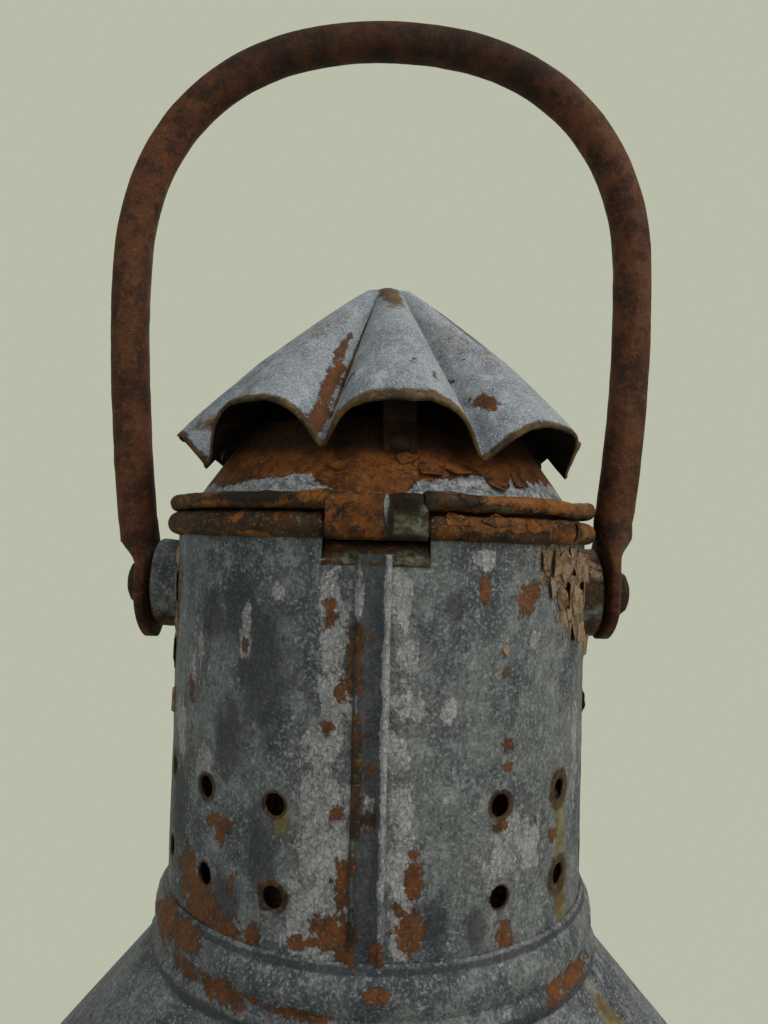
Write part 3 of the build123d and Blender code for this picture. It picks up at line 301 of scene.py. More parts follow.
def mask_between(tree, value, start, end, within=None):
    """0 where a pattern has a start value, 1 where it has an end value and smooth between them; the
    start may be the larger. Within another mask, it is also 0 wherever that one is."""
    falling = float(start > end)
    limits = {"From Min": min(start, end), "From Max": max(start, end), "To Min": falling, "To Max": 1 - falling}
    mask = add_node(
        tree, "ShaderNodeMapRange", {"Value": value, **limits}, interpolation_type="SMOOTHSTEP"
    ).outputs[0]
    if within is None:
        return mask
    return add_node(tree, "ShaderNodeMath", {0: mask, 1: within}, operation="MULTIPLY").outputs[0]


def cracks(tree, size_mm, width, stretch=1.0, within=None):
    """1 in the cracks between cells of a size in millimetres, 0 inside the cells."""
    place = add_node(tree, "ShaderNodeTexCoord").outputs["Object"]
    bent = add_node(tree, "ShaderNodeTexNoise", {"Vector": place, "Scale": 700 / size_mm, "Detail": 2.0}).outputs[1]
    moved = add_node(tree, "ShaderNodeMapping", {"Vector": place, "Scale": (1, 1, 1 / stretch)}).outputs[0]
    shaken = add_node(
        tree, "ShaderNodeVectorMath", {0: bent, 1: (size_mm * MM * 0.8,) * 3, 2: moved}, operation="MULTIPLY_ADD"
    ).outputs[0]
    cells = add_node(
        tree, "ShaderNodeTexVoronoi", {"Vector": shaken, "Scale": 1000 / size_mm}, feature="DISTANCE_TO_EDGE"
    ).outputs[0]
    return mask_between(tree, cells, width, 0.0, within)


def ragged(tree, kind, edge_noise, spread, softness, within=None):
    """A mask from a kind of stored wear, with its edge broken up by noise."""
    wear = add_node(tree, "ShaderNodeAttribute", attribute_name=kind).outputs["Fac"]
    shaken = add_node(
        tree, "ShaderNodeMath", {0: edge_noise, 1: spread, 2: wear}, operation="MULTIPLY_ADD"
    ).outputs[0]
    centre = 0.5 + spread / 2
    return mask_between(tree, shaken, centre - softness, centre + softness, within)


# %% Coats of colour, relief and gloss
def lay(tree, ground, coats):
    """Lays coats over a ground colour. A coat is (pattern, limits, colour, strength), and it shows
    where the pattern nears the second limit. Without limits, the pattern is a mask already."""
    colour = linear(ground)
    for mask, limits, over, strength in coats:
        if limits:
            mask = mask_between(tree, mask, *limits)
        if strength < 1:
            mask = add_node(tree, "ShaderNodeMath", {0: mask, 1: strength}, operation="MULTIPLY").outputs[0]
        over = linear(over) if isinstance(over, str) else over
        colour = add_node(tree, "ShaderNodeMix", {0: mask, 6: colour, 7: over}, data_type="RGBA").outputs[2]
    return colour


def dress(tree, shader, colour, reliefs, gloss=None, gloss_limits=(0.3, 0.7)):
    """Links a colour, the sum of (mask, height in millimetres) as a bump, and where asked a gloss:
    (pattern, roughness at the first limit, roughness at the second)."""
    if colour:
        tree.links.new(colour, shader.inputs["Base Color"])
    if gloss:
        limits = {"From Min": gloss_limits[0], "From Max": gloss_limits[1], "To Min": gloss[1], "To Max": gloss[2]}
        roughness = add_node(tree, "ShaderNodeMapRange", {"Value": gloss[0], **limits}).outputs[0]
        tree.links.new(roughness, shader.inputs["Roughness"])
    height = 0.0
    for mask, millimetres in reliefs:
        height = add_node(
            tree, "ShaderNodeMath", {0: mask, 1: millimetres, 2: height}, operation="MULTIPLY_ADD"
        ).outputs[0]
    bump = add_node(tree, "ShaderNodeBump", {"Height": height, "Distance": MM, "Strength": 1.0})
    tree.links.new(bump.outputs[0], shader.inputs["Normal"])


print("finishes are made of coats laid over a ground colour")

# %% [markdown]
# ## Weathered zinc
# The body is hot-dip galvanised steel sheet: steel dipped in molten zinc. In salt air the bright
# spangle turns to a dull grey skin of zinc carbonate with white bloom and dark damp patches. That
# gives the eye almost no mirror, soft mottling at 5 to 20 mm and fine grit under 2 mm. Left-over
# paint lies on it in islands: an undercoat of red lead, chalky old topcoat, rust and lichen.


# %% A finish for galvanised steel sheet with old paint on it
def weathered_zinc(name, greys, seed, bloom, streaks, freckles=0.5, bare_iron=0.0, grit_mm=0.8,
                   specks=("222428", "20242B"), primer=("40250F", "683C1A"), iron=("22150B", "503620")):
    """Zinc in a dark, a middle and a pale grey. Bloom, streaks and freckles say how strongly the white
    bloom, the dark runs and the specks show, and bare iron how much of the sheet has rusted through.
    Specks, primer and iron are pairs of colours."""
    finish, tree, shader = new_finish(name, Metallic=0.15, Specular_IOR_Level=0.3)
    dark, body, pale = greys
    damp = pattern(tree, 18, 8, 0.7, 1.6, seed)
    mottle = pattern(tree, 5.0, 8, 0.75, 1.2, seed + 1)
    # The real grit is about 0.3 mm; it is drawn at 0.5 to 0.8 mm so that it shows in the render.
    grit = pattern(tree, grit_mm, 3, 0.65, 1, seed + 2)
    runs = pattern(tree, 1.8, 7, 0.7, 7, seed + 3)
    edge = pattern(tree, 3.0, 7, 0.75, 1, seed + 4)
    spots = pattern(tree, 2.0, 5, 0.75, 1, seed + 7)
    crazing = cracks(tree, 1.3, 0.05, 1.9)

    # The stored dark marks are damp patches, and along the seam's left edge a painted shade of the crease.
    damp_and_shade_mask = ragged(tree, "dark", pattern(tree, 6, 6, 0.7, 1.5, seed + 5), 1.0, 0.18)
    chalk_mask = ragged(tree, "chalk", pattern(tree, 5.0, 8, 0.78, 1.5, seed + 8), 2.2, 0.06)
    crazed = add_node(tree, "ShaderNodeMath", {0: crazing, 1: chalk_mask}, operation="MULTIPLY").outputs[0]
    lichen_mask = ragged(tree, "lichen", edge, 1.1, 0.22)
    # The primer has worn through in small spots, so a part of each island shows the zinc.
    worn = mask_between(tree, pattern(tree, 2.4, 8, 0.78, 1.6, seed + 10), 0.38, 0.42)
    red_mask = ragged(tree, "red_lead", edge, 2.0, 0.05, worn)
    flaking_mask = ragged(tree, "flaking", pattern(tree, 4.5, 7, 0.75, 1, seed + 6), 1.6, 0.03)
    splits = cracks(tree, 5.0, 0.05, 1.9, flaking_mask)
    # Where no wear is stored, iron shows in scattered patches of its own.
    scattered = mask_between(tree, pattern(tree, 13, 8, 0.72, 1.3, seed + 9), 0.70 - bare_iron, 0.715 - bare_iron)
    stored_rust = ragged(tree, "rust", edge, 1.0, 0.14)
    rust_mask = add_node(tree, "ShaderNodeMath", {0: stored_rust, 1: scattered}, operation="MAXIMUM").outputs[0]

    chalk = lay(tree, "6A6867", [
        (mottle, (0.36, 0.62), "929194", 1), (grit, (0.50, 0.66), "AEADAF", 0.7),
        (spots, (0.42, 0.32), "4B4740", 0.8), (crazing, None, "3E3B38", 0.75),
    ])
    lichen = lay(tree, "584418", [(mottle, (0.4, 0.6), "74704A", 1)])
    red = lay(tree, primer[0], [
        (mottle, (0.38, 0.62), primer[1], 1), (grit, (0.54, 0.68), "86705C", 0.4), (crazing, None, "2A1A10", 0.4),
    ])
    flakes = lay(tree, "5C4128", [(mottle, (0.40, 0.60), "836C54", 1), (grit, (0.52, 0.66), "988C7C", 0.6)])
    rust = lay(tree, iron[0], [(mottle, (0.42, 0.60), iron[1], 1), (spots, (0.57, 0.65), "706236", 0.7)])
    colour = lay(tree, dark, [
        (damp, (0.38, 0.58), body, 1), (mottle, (0.50, 0.66), pale, 0.7),
        (mottle, (0.47, 0.36), specks[1], freckles), (runs, (0.47, 0.34), dark, streaks),
        (grit, (0.53, 0.64), pale, bloom), (spots, (0.60, 0.66), "A0A3A4", bloom),
        (spots, (0.42, 0.36), specks[0], freckles), (grit, (0.45, 0.34), specks[0], 0.55),
        (damp_and_shade_mask, None, "20232B", 0.7), (chalk_mask, None, chalk, 0.95), (lichen_mask, None, lichen, 0.9),
        (red_mask, None, red, 1), (flaking_mask, None, flakes, 1), (splits, None, "100C0A", 1),
        (rust_mask, None, rust, 1),
    ])
    reliefs = [(mottle, 0.16), (grit, 0.09), (chalk_mask, 0.12), (crazed, -0.05), (red_mask, 0.14),
               (flaking_mask, 0.40), (splits, -0.40), (rust_mask, 0.10)]
    dress(tree, shader, colour, reliefs, (mottle, 0.55, 0.9))
    return finish


BARREL_ZINC = weathered_zinc("galvanised steel, chimney", ("383C41", "606362", "868989"), 0, 0.6, 0.55)
SHOULDER_ZINC = weathered_zinc(
    "galvanised steel, shoulder", ("373A3E", "5B5E60", "888C8F"), 5, 0.7, 0.4, bare_iron=0.09
)
CAP_ZINC = weathered_zinc(
    "galvanised steel, cap", ("666D76", "82878D", "A8ACB1"), 9, 0.85, 0.1, 0.45, 0.04, grit_mm=0.5,
    specks=("454B54", "4A515B"), primer=("44260D", "6C3B14"), iron=("2C2010", "5F4726"),
)
LOWER_ZINC = weathered_zinc("galvanised steel, base", ("3C4043", "5D6062", "808485"), 13, 0.5, 0.45, bare_iron=0.13)
WIRE_ZINC = weathered_zinc("galvanised steel wire", ("3A3D3F", "5A5D5E", "808384"), 17, 0.4, 0.45, bare_iron=0.17)
print("zinc finishes:", [material.name for material in bpy.data.materials])

# %% [markdown]
# ## Rust, red lead and soot
# Where the zinc is gone the iron shows. The forged bail has an even brown rust with darker
# purple-brown patches of mill scale. The rolled edges carry rust under flaking red lead, an orange
# primer made with lead oxide. Both are porous and scatter light, so their specular level is low.
# The inside of the cap is black with soot, which has no shine at all.


# %% Rusted iron
def rusted_iron(name, dark, body, bright, patch_mm=9.0, seed=0.0, scale_colour="2C1E1A", speck="6A5A4C"):
    """Rust in a dark, a middle and a bright brown, with patches of mill scale and pale specks."""
    finish, tree, shader = new_finish(name, Specular_IOR_Level=0.15)
    patches = pattern(tree, patch_mm, 6, 0.65, 1, seed)
    grain = pattern(tree, 2.0, 6, 0.75, 1, seed + 1)
    # Rust grains are about 0.2 mm; they are drawn at 0.8 mm so that they show.
    pits = pattern(tree, 0.8, 4, 0.65, 1, seed + 2)
    blotches = pattern(tree, 5.0, 6, 0.72, 1, seed + 3)
    colour = lay(tree, dark, [
        (patches, (0.38, 0.60), body, 1), (grain, (0.50, 0.70), bright, 0.8),
        (blotches, (0.52, 0.62), scale_colour, 0.75), (pits, (0.44, 0.30), dark, 0.9),
        (pits, (0.62, 0.70), speck, 0.6), (ragged(tree, "dark", blotches, 0.8, 0.25), None, "1A110C", 0.7),
    ])
    dress(tree, shader, colour, [(grain, 0.30), (pits, 0.20), (blotches, 0.25)], (grain, 0.5, 0.9))
    return finish


BAIL_IRON = rusted_iron("forged iron, rusted", "2E190D", "55331F", "6B452A")
RIVET_IRON = rusted_iron("iron rivet, rusted", "1C130B", "33251A", "4A3A22", 5.0, 4.0)
INNER_RUST = rusted_iron("steel sheet, rusted inside", "22150D", "3E2716", "5A3A20", 14.0, 8.0)
# The cap's brackets and their rivets carry soot and are darkened further as painted shade under the cap.
SOOT_AND_SHADE_IRON = rusted_iron("iron bracket, soot and painted shade", "140D08", "2B1A0F", "3C2615", 7.0, 15.0, "1C120B", "4A3626")
SLEEVE_RUST = rusted_iron("draught sleeve, rusted", "4A2E1C", "7E5A42", "A8937E", 6.0, 19.0, "3A2618", "B0A090")
print("finishes so far:", len(bpy.data.materials))


# %% Red lead over rust
def red_lead_on_rust(name, share, seed=0.0, olive=0.4, paint_dark="4A2A0C", paint_bright="784A1C"):
    """Rolled edge: brown rust with an olive stain, and red lead left on a share of it."""
    finish, tree, shader = new_finish(name, Specular_IOR_Level=0.15)
    patches = pattern(tree, 8, 6, 0.68, 1, seed)
    grain = pattern(tree, 1.8, 6, 0.75, 1, seed + 1)
    edge = pattern(tree, 4.5, 7, 0.75, 1, seed + 2)
    grit = pattern(tree, 0.9, 4, 0.65, 1, seed + 4)
    level = 0.5 + 0.18 * (1 - 2 * share)
    everywhere = mask_between(tree, edge, level - 0.012, level + 0.012)
    stored = ragged(tree, "red_lead", edge, 1.4, 0.04)
    paint_mask = add_node(tree, "ShaderNodeMath", {0: everywhere, 1: stored}, operation="MAXIMUM").outputs[0]
    splits = cracks(tree, 4.5, 0.03, 0.7, mask_between(tree, patches, 0.54, 0.60))
    paint = lay(tree, paint_dark, [
        (patches, (0.40, 0.58), paint_bright, 1), (grain, (0.54, 0.66), "846038", 0.6),
        (grain, (0.46, 0.36), "2A1709", 0.7), (grit, (0.60, 0.72), "8A7660", 0.4),
        (grit, (0.42, 0.30), "20120A", 0.7), (splits, None, "120B07", 0.95),
    ])
    zinc = lay(tree, "56585A", [(grain, (0.40, 0.62), "8A8D8E", 1), (grit, (0.52, 0.64), "A5A8AA", 0.7)])
    olive_skin = lay(tree, "302E22", [(grain, (0.42, 0.62), "65634E", 1)])
    # Stored dark marks darken the surface; on the cone's upper band and along the crust's top they are painted shade
    # under the cap and the strap.
    colour = lay(tree, "1F150C", [
        (patches, (0.40, 0.60), "3C2A18", 1),
        (pattern(tree, 9, 5, 0.65, 1, seed + 3), (0.48, 0.62), "4A4530", olive),
        (pattern(tree, 6, 6, 0.7, 1, seed + 5), (0.50, 0.60), "45230F", 0.6),
        (grain, (0.54, 0.70), "5E4C34", 0.6), (grit, (0.58, 0.68), "857C6C", 0.5),
        (paint_mask, None, paint, 1), (ragged(tree, "bare", edge, 1.4, 0.04), None, zinc, 1),
        (ragged(tree, "lichen", edge, 1.4, 0.12), None, olive_skin, 0.85),
        (ragged(tree, "dark", grain, 0.7, 0.2), None, "120E0A", 0.85),
    ])
    reliefs = [(grain, 0.25), (grit, 0.10), (paint_mask, 0.30), (splits, -0.30)]
    dress(tree, shader, colour, reliefs, (grain, 0.45, 0.85))
    return finish


EDGE_RUST = red_lead_on_rust("rolled edge, rust and red lead", 0.36)
LID_RED_LEAD = red_lead_on_rust("lid sheet, red lead on zinc", 0.66, 6.0, 0.1, "3F220A", "683B12")
STRAP_RED_LEAD = red_lead_on_rust("hinge strap, red lead", 0.66, 12.0, 0.15, "3F220B", "693B15")
print("finishes so far:", len(bpy.data.materials))

# %% Soot
SOOT, tree, shader = new_finish("soot on steel", Roughness=0.95, Specular_IOR_Level=0.1)
smudged = lay(tree, "15120F", [(pattern(tree, 9, 5, 0.65, 1, 3.0), (0.42, 0.70), "3A2A1E", 1)])
dress(tree, shader, smudged, [(pattern(tree, 1.6, 4), 0.2)])
print("soot is ready")

# %% [markdown]
# ## Glass, brass, tin, cork and cotton
# These are the parts below and inside the lantern that the photograph doesn't show. The lens is
# pressed soda-lime glass, which has an IOR of 1.52 and a faint green cast. The burner is
# yellow brass gone brown, the font is tinned sheet, and the gaskets are ground cork.

# %% Glass and metals of the lower and inner parts
LENS_GLASS, tree, shader = new_finish(
    "pressed soda-lime glass", IOR=1.52, Base_Color=linear("EDF5F0"), Transmission_Weight=1.0
)
haze = pattern(tree, 16, 5, 0.6, 1.5, 2.0)
# Pressed glass has a slight ripple left by the mould, here 0.05 mm over 12 mm.
dress(tree, shader, None, [(pattern(tree, 12, 2), 0.05)], (haze, 0.03, 0.30), (0.45, 0.8))


def aged_metal(name, dark, body, bright, metallic, polished, seed):
    """A rolled or spun metal part that has dulled, with finger-sized patches and fine scratches."""
    finish, tree, shader = new_finish(name, Metallic=metallic)
    patches = pattern(tree, 12, 5, 0.6, 1, seed)
    rings = pattern(tree, 1.4, 4, 0.6, 0.12, seed + 1)
    colour = lay(tree, dark, [
        (patches, (0.34, 0.66), body, 1), (rings, (0.52, 0.74), bright, 0.5),
        (pattern(tree, 1.1, 3, 0.6, 1, seed + 2), (0.38, 0.26), dark, 0.7),
    ])
    dress(tree, shader, colour, [(rings, 0.04)], (patches, 0.6, polished))
    return finish


BRASS = aged_metal("burner brass, tarnished", "4A3A1E", "8A6C36", "B8975A", 0.85, 0.32, 2.0)
TIN = aged_metal("tinned steel, dull", "55534C", "8B8A84", "A9A8A2", 0.8, 0.35, 7.0)
print("glass, brass and tin are ready")

# %% Cork and cotton
GRAIN_MM = 1.8
CORK, tree, shader = new_finish("ground cork", Roughness=0.9)
place = add_node(tree, "ShaderNodeTexCoord").outputs["Object"]
grains = add_node(tree, "ShaderNodeTexVoronoi", {"Vector": place, "Scale": 1000 / GRAIN_MM}).outputs["Distance"]
dress(tree, shader, lay(tree, "8A6742", [(grains, (0.2, 0.7), "5A3E26", 1)]), [(grains, -0.2)])

# The wick's threads are about 0.6 mm apart; they are drawn at 0.9 and 1.1 mm so that they show.
COTTON, tree, shader = new_finish("plaited cotton wick", Roughness=0.95, Sheen_Weight=0.3)
place = add_node(tree, "ShaderNodeTexCoord").outputs["Object"]
threads = [
    add_node(
        tree, "ShaderNodeTexWave", {"Vector": place, "Scale": 1000 / spacing / 6.28, "Distortion": 0.6},
        wave_type="BANDS", bands_direction=direction,
    ).outputs[1]
    for spacing, direction in ((0.9, "X"), (1.1, "Z"))
]
weave = add_node(tree, "ShaderNodeMath", {0: threads[0], 1: threads[1]}, operation="MULTIPLY").outputs[0]
charred = ragged(tree, "char", pattern(tree, 2.0, 5, 0.7, 1, 2.0), 0.8, 0.25)
cotton = lay(tree, "A79C82", [(weave, None, "DDD5C0", 1), (charred, None, "17120E", 0.95)])
dress(tree, shader, cotton, [(weave, 0.25)])
print("finishes made:", len(bpy.data.materials))

# %% [markdown]
# ## The chimney's sheet
# The chimney is one rolled sheet with a lock seam down the front and two rows of punched air holes.
# A fine grid of faces lets it carry small dents. Faces inside each hole are left out and the points
# on its edge are pulled onto the circle, which gives a clean punched edge without a boolean.

# %% Roll the sheet, punch the holes and cut the notch for the hinge
VENT_RADIUS, VENT_ROWS, VENT_COLUMNS = 2.6, (321.5, 342.0), 15
VENT_START, VENT_SPAN = 30.1, 306.4
STEPS_ROUND, STEPS_UP = 420, 132
SHEET_TOP = RIM_HEIGHT - 2.0
azimuths = np.tile(np.arange(STEPS_ROUND) * 360 / STEPS_ROUND, STEPS_UP)
heights = np.repeat(np.linspace(BARREL_FOOT, SHEET_TOP, STEPS_UP), STEPS_ROUND)
grid_step = max(2 * math.pi * BARREL_RADIUS / STEPS_ROUND, (SHEET_TOP - BARREL_FOOT) / (STEPS_UP - 1))
in_hole = np.zeros(len(azimuths), bool)
hole_distance = np.full(len(azimuths), 99.0)
for vent_height in VENT_ROWS:
    for column in range(VENT_COLUMNS):
        vent_azimuth = VENT_START + column * VENT_SPAN / (VENT_COLUMNS - 1)
        sideways = np.radians(aside(azimuths, vent_azimuth)) * BARREL_RADIUS
        upward = heights - vent_height
        distance = np.hypot(sideways, upward)
        hole_distance = np.minimum(hole_distance, distance)
        near = distance < VENT_RADIUS + 0.5 * grid_step
        pull = VENT_RADIUS / np.maximum(distance[near], 0.01)
        azimuths[near] = vent_azimuth + np.degrees(sideways[near] * pull / BARREL_RADIUS)
        heights[near] = vent_height + upward[near] * pull
        in_hole |= near
sideways = BARREL_RADIUS * np.sin(np.radians(azimuths))
in_notch = (np.cos(np.radians(azimuths)) > 0) & (heights > NOTCH_FLOOR)
in_notch &= (sideways > NOTCH_LEFT) & (sideways < NOTCH_RIGHT)
faces = [
    face for face in skin_faces(STEPS_UP, STEPS_ROUND)
    if not in_hole[list(face)].all() and not in_notch[list(face)].any()
]
points = []
for azimuth, height in zip(azimuths, heights):
    spot = around(BARREL_RADIUS, azimuth, height)
    push = 0.22 * rough(spot, 26, 3) + 0.05 * rough(spot, 3.0, 3, 5.0)
    points.append(around(BARREL_RADIUS - 0.25 + push, azimuth, height))
print("barrel faces:", len(faces), "holes:", VENT_COLUMNS * len(VENT_ROWS))

# %% Rust round the holes
# Each hole has rusted by a different amount, from almost clean to a wide ring. The column at the
# right edge, where the lichen runs down, has the widest.
vent_column = np.round((azimuths - VENT_START) * (VENT_COLUMNS - 1) / VENT_SPAN)
ring_choice = (vent_column * 2.3 + np.round(heights / 20.5) * 1.7) % 3.0
rust_width = np.where(np.abs(aside(azimuths, 52)) < 8, 2.4, 0.25 + 0.5 * ring_choice)
hole_rust = np.clip(1 - 0.5 * (hole_distance - VENT_RADIUS) / rust_width, 0, 1)
barrel_sheet = add_piece(
    "barrel_sheet", points, faces, "lantern", BARREL_ZINC, "chimney", wear={"rust": hole_rust}, marks=BARREL_WEAR
)
thicken(barrel_sheet, SHEET, INNER_RUST)
print("barrel points:", len(barrel_sheet.data.vertices))

# %% [markdown]
# ## The lock seam
# Two folded edges are hooked together and hammered flat, which leaves a raised band with a groove
# beside a sharp fold. Its cross-section is drawn once, as offsets across the seam with a rise over
# the sheet, and repeated up the barrel with a little wander. Damp keeps the groove dark, painted
# shade darkens the crease at its left edge, and rust has come through along its left side.

# %% Fold the seam
SEAM_SECTION = [
    (-5.7, -0.3), (-5.4, 0.35), (-4.7, 0.75), (-4, 0.85), (-3.4, 0.75), (-3.1, 0.25), (-2.6, -0.02), (-1.6, -0.1),
    (-0.6, -0.05), (0, 0.2), (0.7, 0.55), (1.2, 1.05), (1.7, 1.15), (2.1, 1), (2.35, 0.4), (2.6, -0.3),
]
SEAM_MARKS = {
    "red_lead": [
        (-4.4, 374, 0.9, 7), (-4.6, 346, 0.8, 6), (-4.8, 331, 1, 3), (-5, 313.5, 1.4, 6), (0.6, 312, 2, 3),
    ],
    "chalk": [(1.6, 360, 0.9, 60), (-4.8, 390, 1.2, 5), (-1.5, 341, 1.6, 4)],
}
SEAM_ROWS, SEAM_FOOT, SEAM_TOP = 96, COLLAR_TOP - 1.5, NOTCH_FLOOR + 1.0
points, damp, rust = [], [], []
for row in range(SEAM_ROWS):
    height = SEAM_FOOT + (SEAM_TOP - SEAM_FOOT) * row / (SEAM_ROWS - 1)
    brown = 0.22 + 0.5 * rough((0, 0, height), 12, 4, 6.0) + 0.22 * hump(height, 354, 13)
    for across, rise in SEAM_SECTION:
        wander = 0.18 * rough((across, 0, height), 14, 2, 3.0)
        lump = 0.10 * rough((across * 2, 0, height), 2.4, 3, 8.0)
        points.append(around(BARREL_RADIUS + rise + lump, math.degrees((across + wander) / BARREL_RADIUS), height))
        # Damp darkens the groove, and the crease at the left edge is darkened fully as painted shade.
        damp.append(1.0 if -4.2 < across < 0.9 or across < -5.2 else 0.25 if across < -3.2 else 0.0)
        rust.append(brown + 0.18 if across < -3.2 else brown if across < 0.5 else 0.0)
faces = skin_faces(SEAM_ROWS, len(SEAM_SECTION), wrap_columns=False)
add_piece("lock_seam", points, faces, "lantern", BARREL_ZINC, crease=50, wear={"dark": damp, "rust": rust},
          marks=SEAM_MARKS)
print("seam points:", len(points))

# %% [markdown]
# ## The wired edges
# A sheet edge is rolled round a wire to stiffen it. Both edges here are lumpy with rust, and the
# lower one stops on each side of the hinge strap. A tube along an arc shows this well; its radius
# wanders a little, more on the right where rust has swollen it.


# %% A tube along a path
def squared(value, power):
    """A sine or cosine pushed outwards by a power under 1, which turns a circle into a rounded square."""
    return math.copysign(abs(value) ** power, value)


def tube(name, stations, body, finish, sides, dent, dent_size, **more):
    """A closed tube. A station is (centre, across, along, half_across, half_along, squareness)."""
    points = []
    for centre, across, along, half_across, half_along, squareness in stations:
        for side in range(sides):
            turn = 2 * math.pi * side / sides
            reach_across = half_across * squared(math.cos(turn), 2 / squareness)
            reach_along = half_along * squared(math.sin(turn), 2 / squareness)
            spot = Vector(centre) + Vector(across) * reach_across + Vector(along) * reach_along
            outward = (spot - Vector(centre)).normalized()
            points.append(tuple(spot + outward * dent * rough(spot, dent_size)))
    return add_piece(name, points, skin_faces(len(stations), sides, capped=True), body, finish, **more)


def rolled_edge(name, radius, height, bead, start, end, body, finish, swell, dent, **more):
    """A tube round the axis between two azimuths; swell gives its rise and growth at an azimuth."""
    stations = []
    count = round(abs(end - start) / 0.9)
    for step in range(count + 1):
        azimuth = start + (end - start) * step / count
        lift, grow = swell(azimuth % 360)
        reach = (bead + grow) * (0.82 if step in (0, count) else 1.0)
        stations.append((around(radius, azimuth, height + lift), around(1, azimuth, 0), (0, 0, 1), reach, reach, 2.0))
    return tube(name, stations, body, finish, 30, dent, 5.0, **more)


def on_left(azimuth):
    """0 at the hinge and on its right, growing to 1 within 22 degrees to its left."""
    return limited((350 - azimuth) / 12) if azimuth > 180 else 0.0


print("a half cosine, squared by 0.5:", round(squared(-0.5, 0.5), 2))


# %% Roll the lower edge
def lower_swell(azimuth):
    """Rise and growth of the lower edge, in millimetres."""
    return 0.3 * on_left(azimuth), -0.25 + 0.25 * hump(azimuth, 45, 28) + 0.25 * on_left(azimuth)


LOWER_RED_LEAD = [
    (22, 405.5, 7, 2), (34, 406, 9, 2.2), (50, 403.5, 9, 2.4), (64, 405.5, 8, 2.2), (14, 403, 3, 2.6),
    (-75, 404, 5, 3), (-60, 402.5, 6, 1.2), (-30, 402.3, 5, 1),
]
rim_roll = rolled_edge(
    "rim_roll", RIM_RADIUS, RIM_HEIGHT, RIM_BEAD, 10.6, 346.9, "lantern", EDGE_RUST, lower_swell, 0.32,
    marks={"red_lead": LOWER_RED_LEAD},
)
print("lower edge points:", len(rim_roll.data.vertices))


# %% Roll the lid's edge
def upper_swell(azimuth):
    """Rise and growth of the lid's edge; on the right it sags and thins in waves."""
    right = max(0.0, math.sin(math.radians(azimuth * 2))) if azimuth < 90 else 0.0
    wave = -0.5 * right + 0.25 * right * math.sin(math.radians(azimuth * 11))
    return wave - 0.5 * on_left(azimuth), -0.1 - 0.45 * right - 0.4 * on_left(azimuth)


LID_EDGE_MARKS = {
    "red_lead": [
        (40, 411, 16, 2.2), (62, 411, 12, 2.5), (22, 412, 6, 2.2), (-80, 411, 8, 3), (-16, 411.5, 4, 2),
        (-45, 409.2, 9, 1),
    ],
    "dark": [(19.5, 411, 3.2, 2.2), (-30, 411, 12, 1.5), (8, 412, 4, 3)],
}
lid_roll = rolled_edge(
    "lid_roll", 57.35, 410.7, 2.5, 9.0, 348.6, "lid", EDGE_RUST, upper_swell, 0.28, marks=LID_EDGE_MARKS
)
print("lid edge points:", len(lid_roll.data.vertices))

# %% [markdown]
# ## The lid's cone
# The lid is a spun cone with its base turned out into a ledge. Red lead still covers its upper
# band down to a ragged line, and pale zinc shows below it. The line is stored per point from a noise
# of the azimuth, so it stays ragged from every side.


# %% Spin the cone
def divided(outline, longest):
    """A closed outline with points added on long runs, so that dents can show there."""
    made = []
    for index, corner in enumerate(outline):
        following = outline[(index + 1) % len(outline)]
        runs = max(1, math.ceil(math.dist(corner, following) / longest))
        for run in range(runs):
            made.append(tuple(a + (b - a) * (run / runs) for a, b in zip(corner, following)))
    return made


CONE_OUTLINE = divided([
    (55.85, 410.3), (55.85, 411.1), (52.6, 411.1), (50.2, 414.6), (47.8, 418.2), (45.4, 421.7), (43, 425.3),
    (40.6, 428.8), (38.8, 431.4), (37.84, 431.48), (39.6, 427.9), (42, 424.3), (44.4, 420.8), (46.8, 417.2),
    (49.2, 413.7), (51.5, 410.5),
], 0.9)
CONE_STEPS = 300
points, cone_wear_and_shade = [], {"red_lead": [], "bare": [], "dark": []}
for radius, height in CONE_OUTLINE:
    for step in range(CONE_STEPS):
        azimuth = 360 * step / CONE_STEPS
        push = 0.30 * rough(around(radius, azimuth, height), 22, 3, 2.0)
        points.append(around(radius + push - 0.2, azimuth, height))
        # The red lead reaches lower over the strap and ends a little higher to its right.
        front = aside(azimuth, -2.5)
        line = 415.6 + 3.2 * rough(around(30, azimuth, 0), 10, 4, 4.0)
        line += 1.8 * hump(front, 27, 20) - 8.0 * hump(front, 0, 9, 4)
        cone_wear_and_shade["red_lead"].append(limited(0.5 + (height - line) / 5.0))
        cone_wear_and_shade["bare"].append(limited(0.5 + (line - height) / 5.0))
        # The cone's upper band, under the cap, is darkened as painted shade through the stored dark value.
        cone_wear_and_shade["dark"].append(0.85 * limited((height - 418.0) / 8.0))
faces = skin_faces(len(CONE_OUTLINE), CONE_STEPS, wrap_rows=True)
add_piece("lid_cone", points, faces, "lid", LID_RED_LEAD, "lid_shell", wear=cone_wear_and_shade)
print("cone points:", len(points))

# %% [markdown]
# ## The hinge strap
# The strap is a flat plate that comes down from the lid and wraps the wire of the lower edge. Its
# cross-section, seen from the side, is a hook. The plate is that section repeated across its width,
# with the ends closed, so it has real thickness where the light catches its corners.

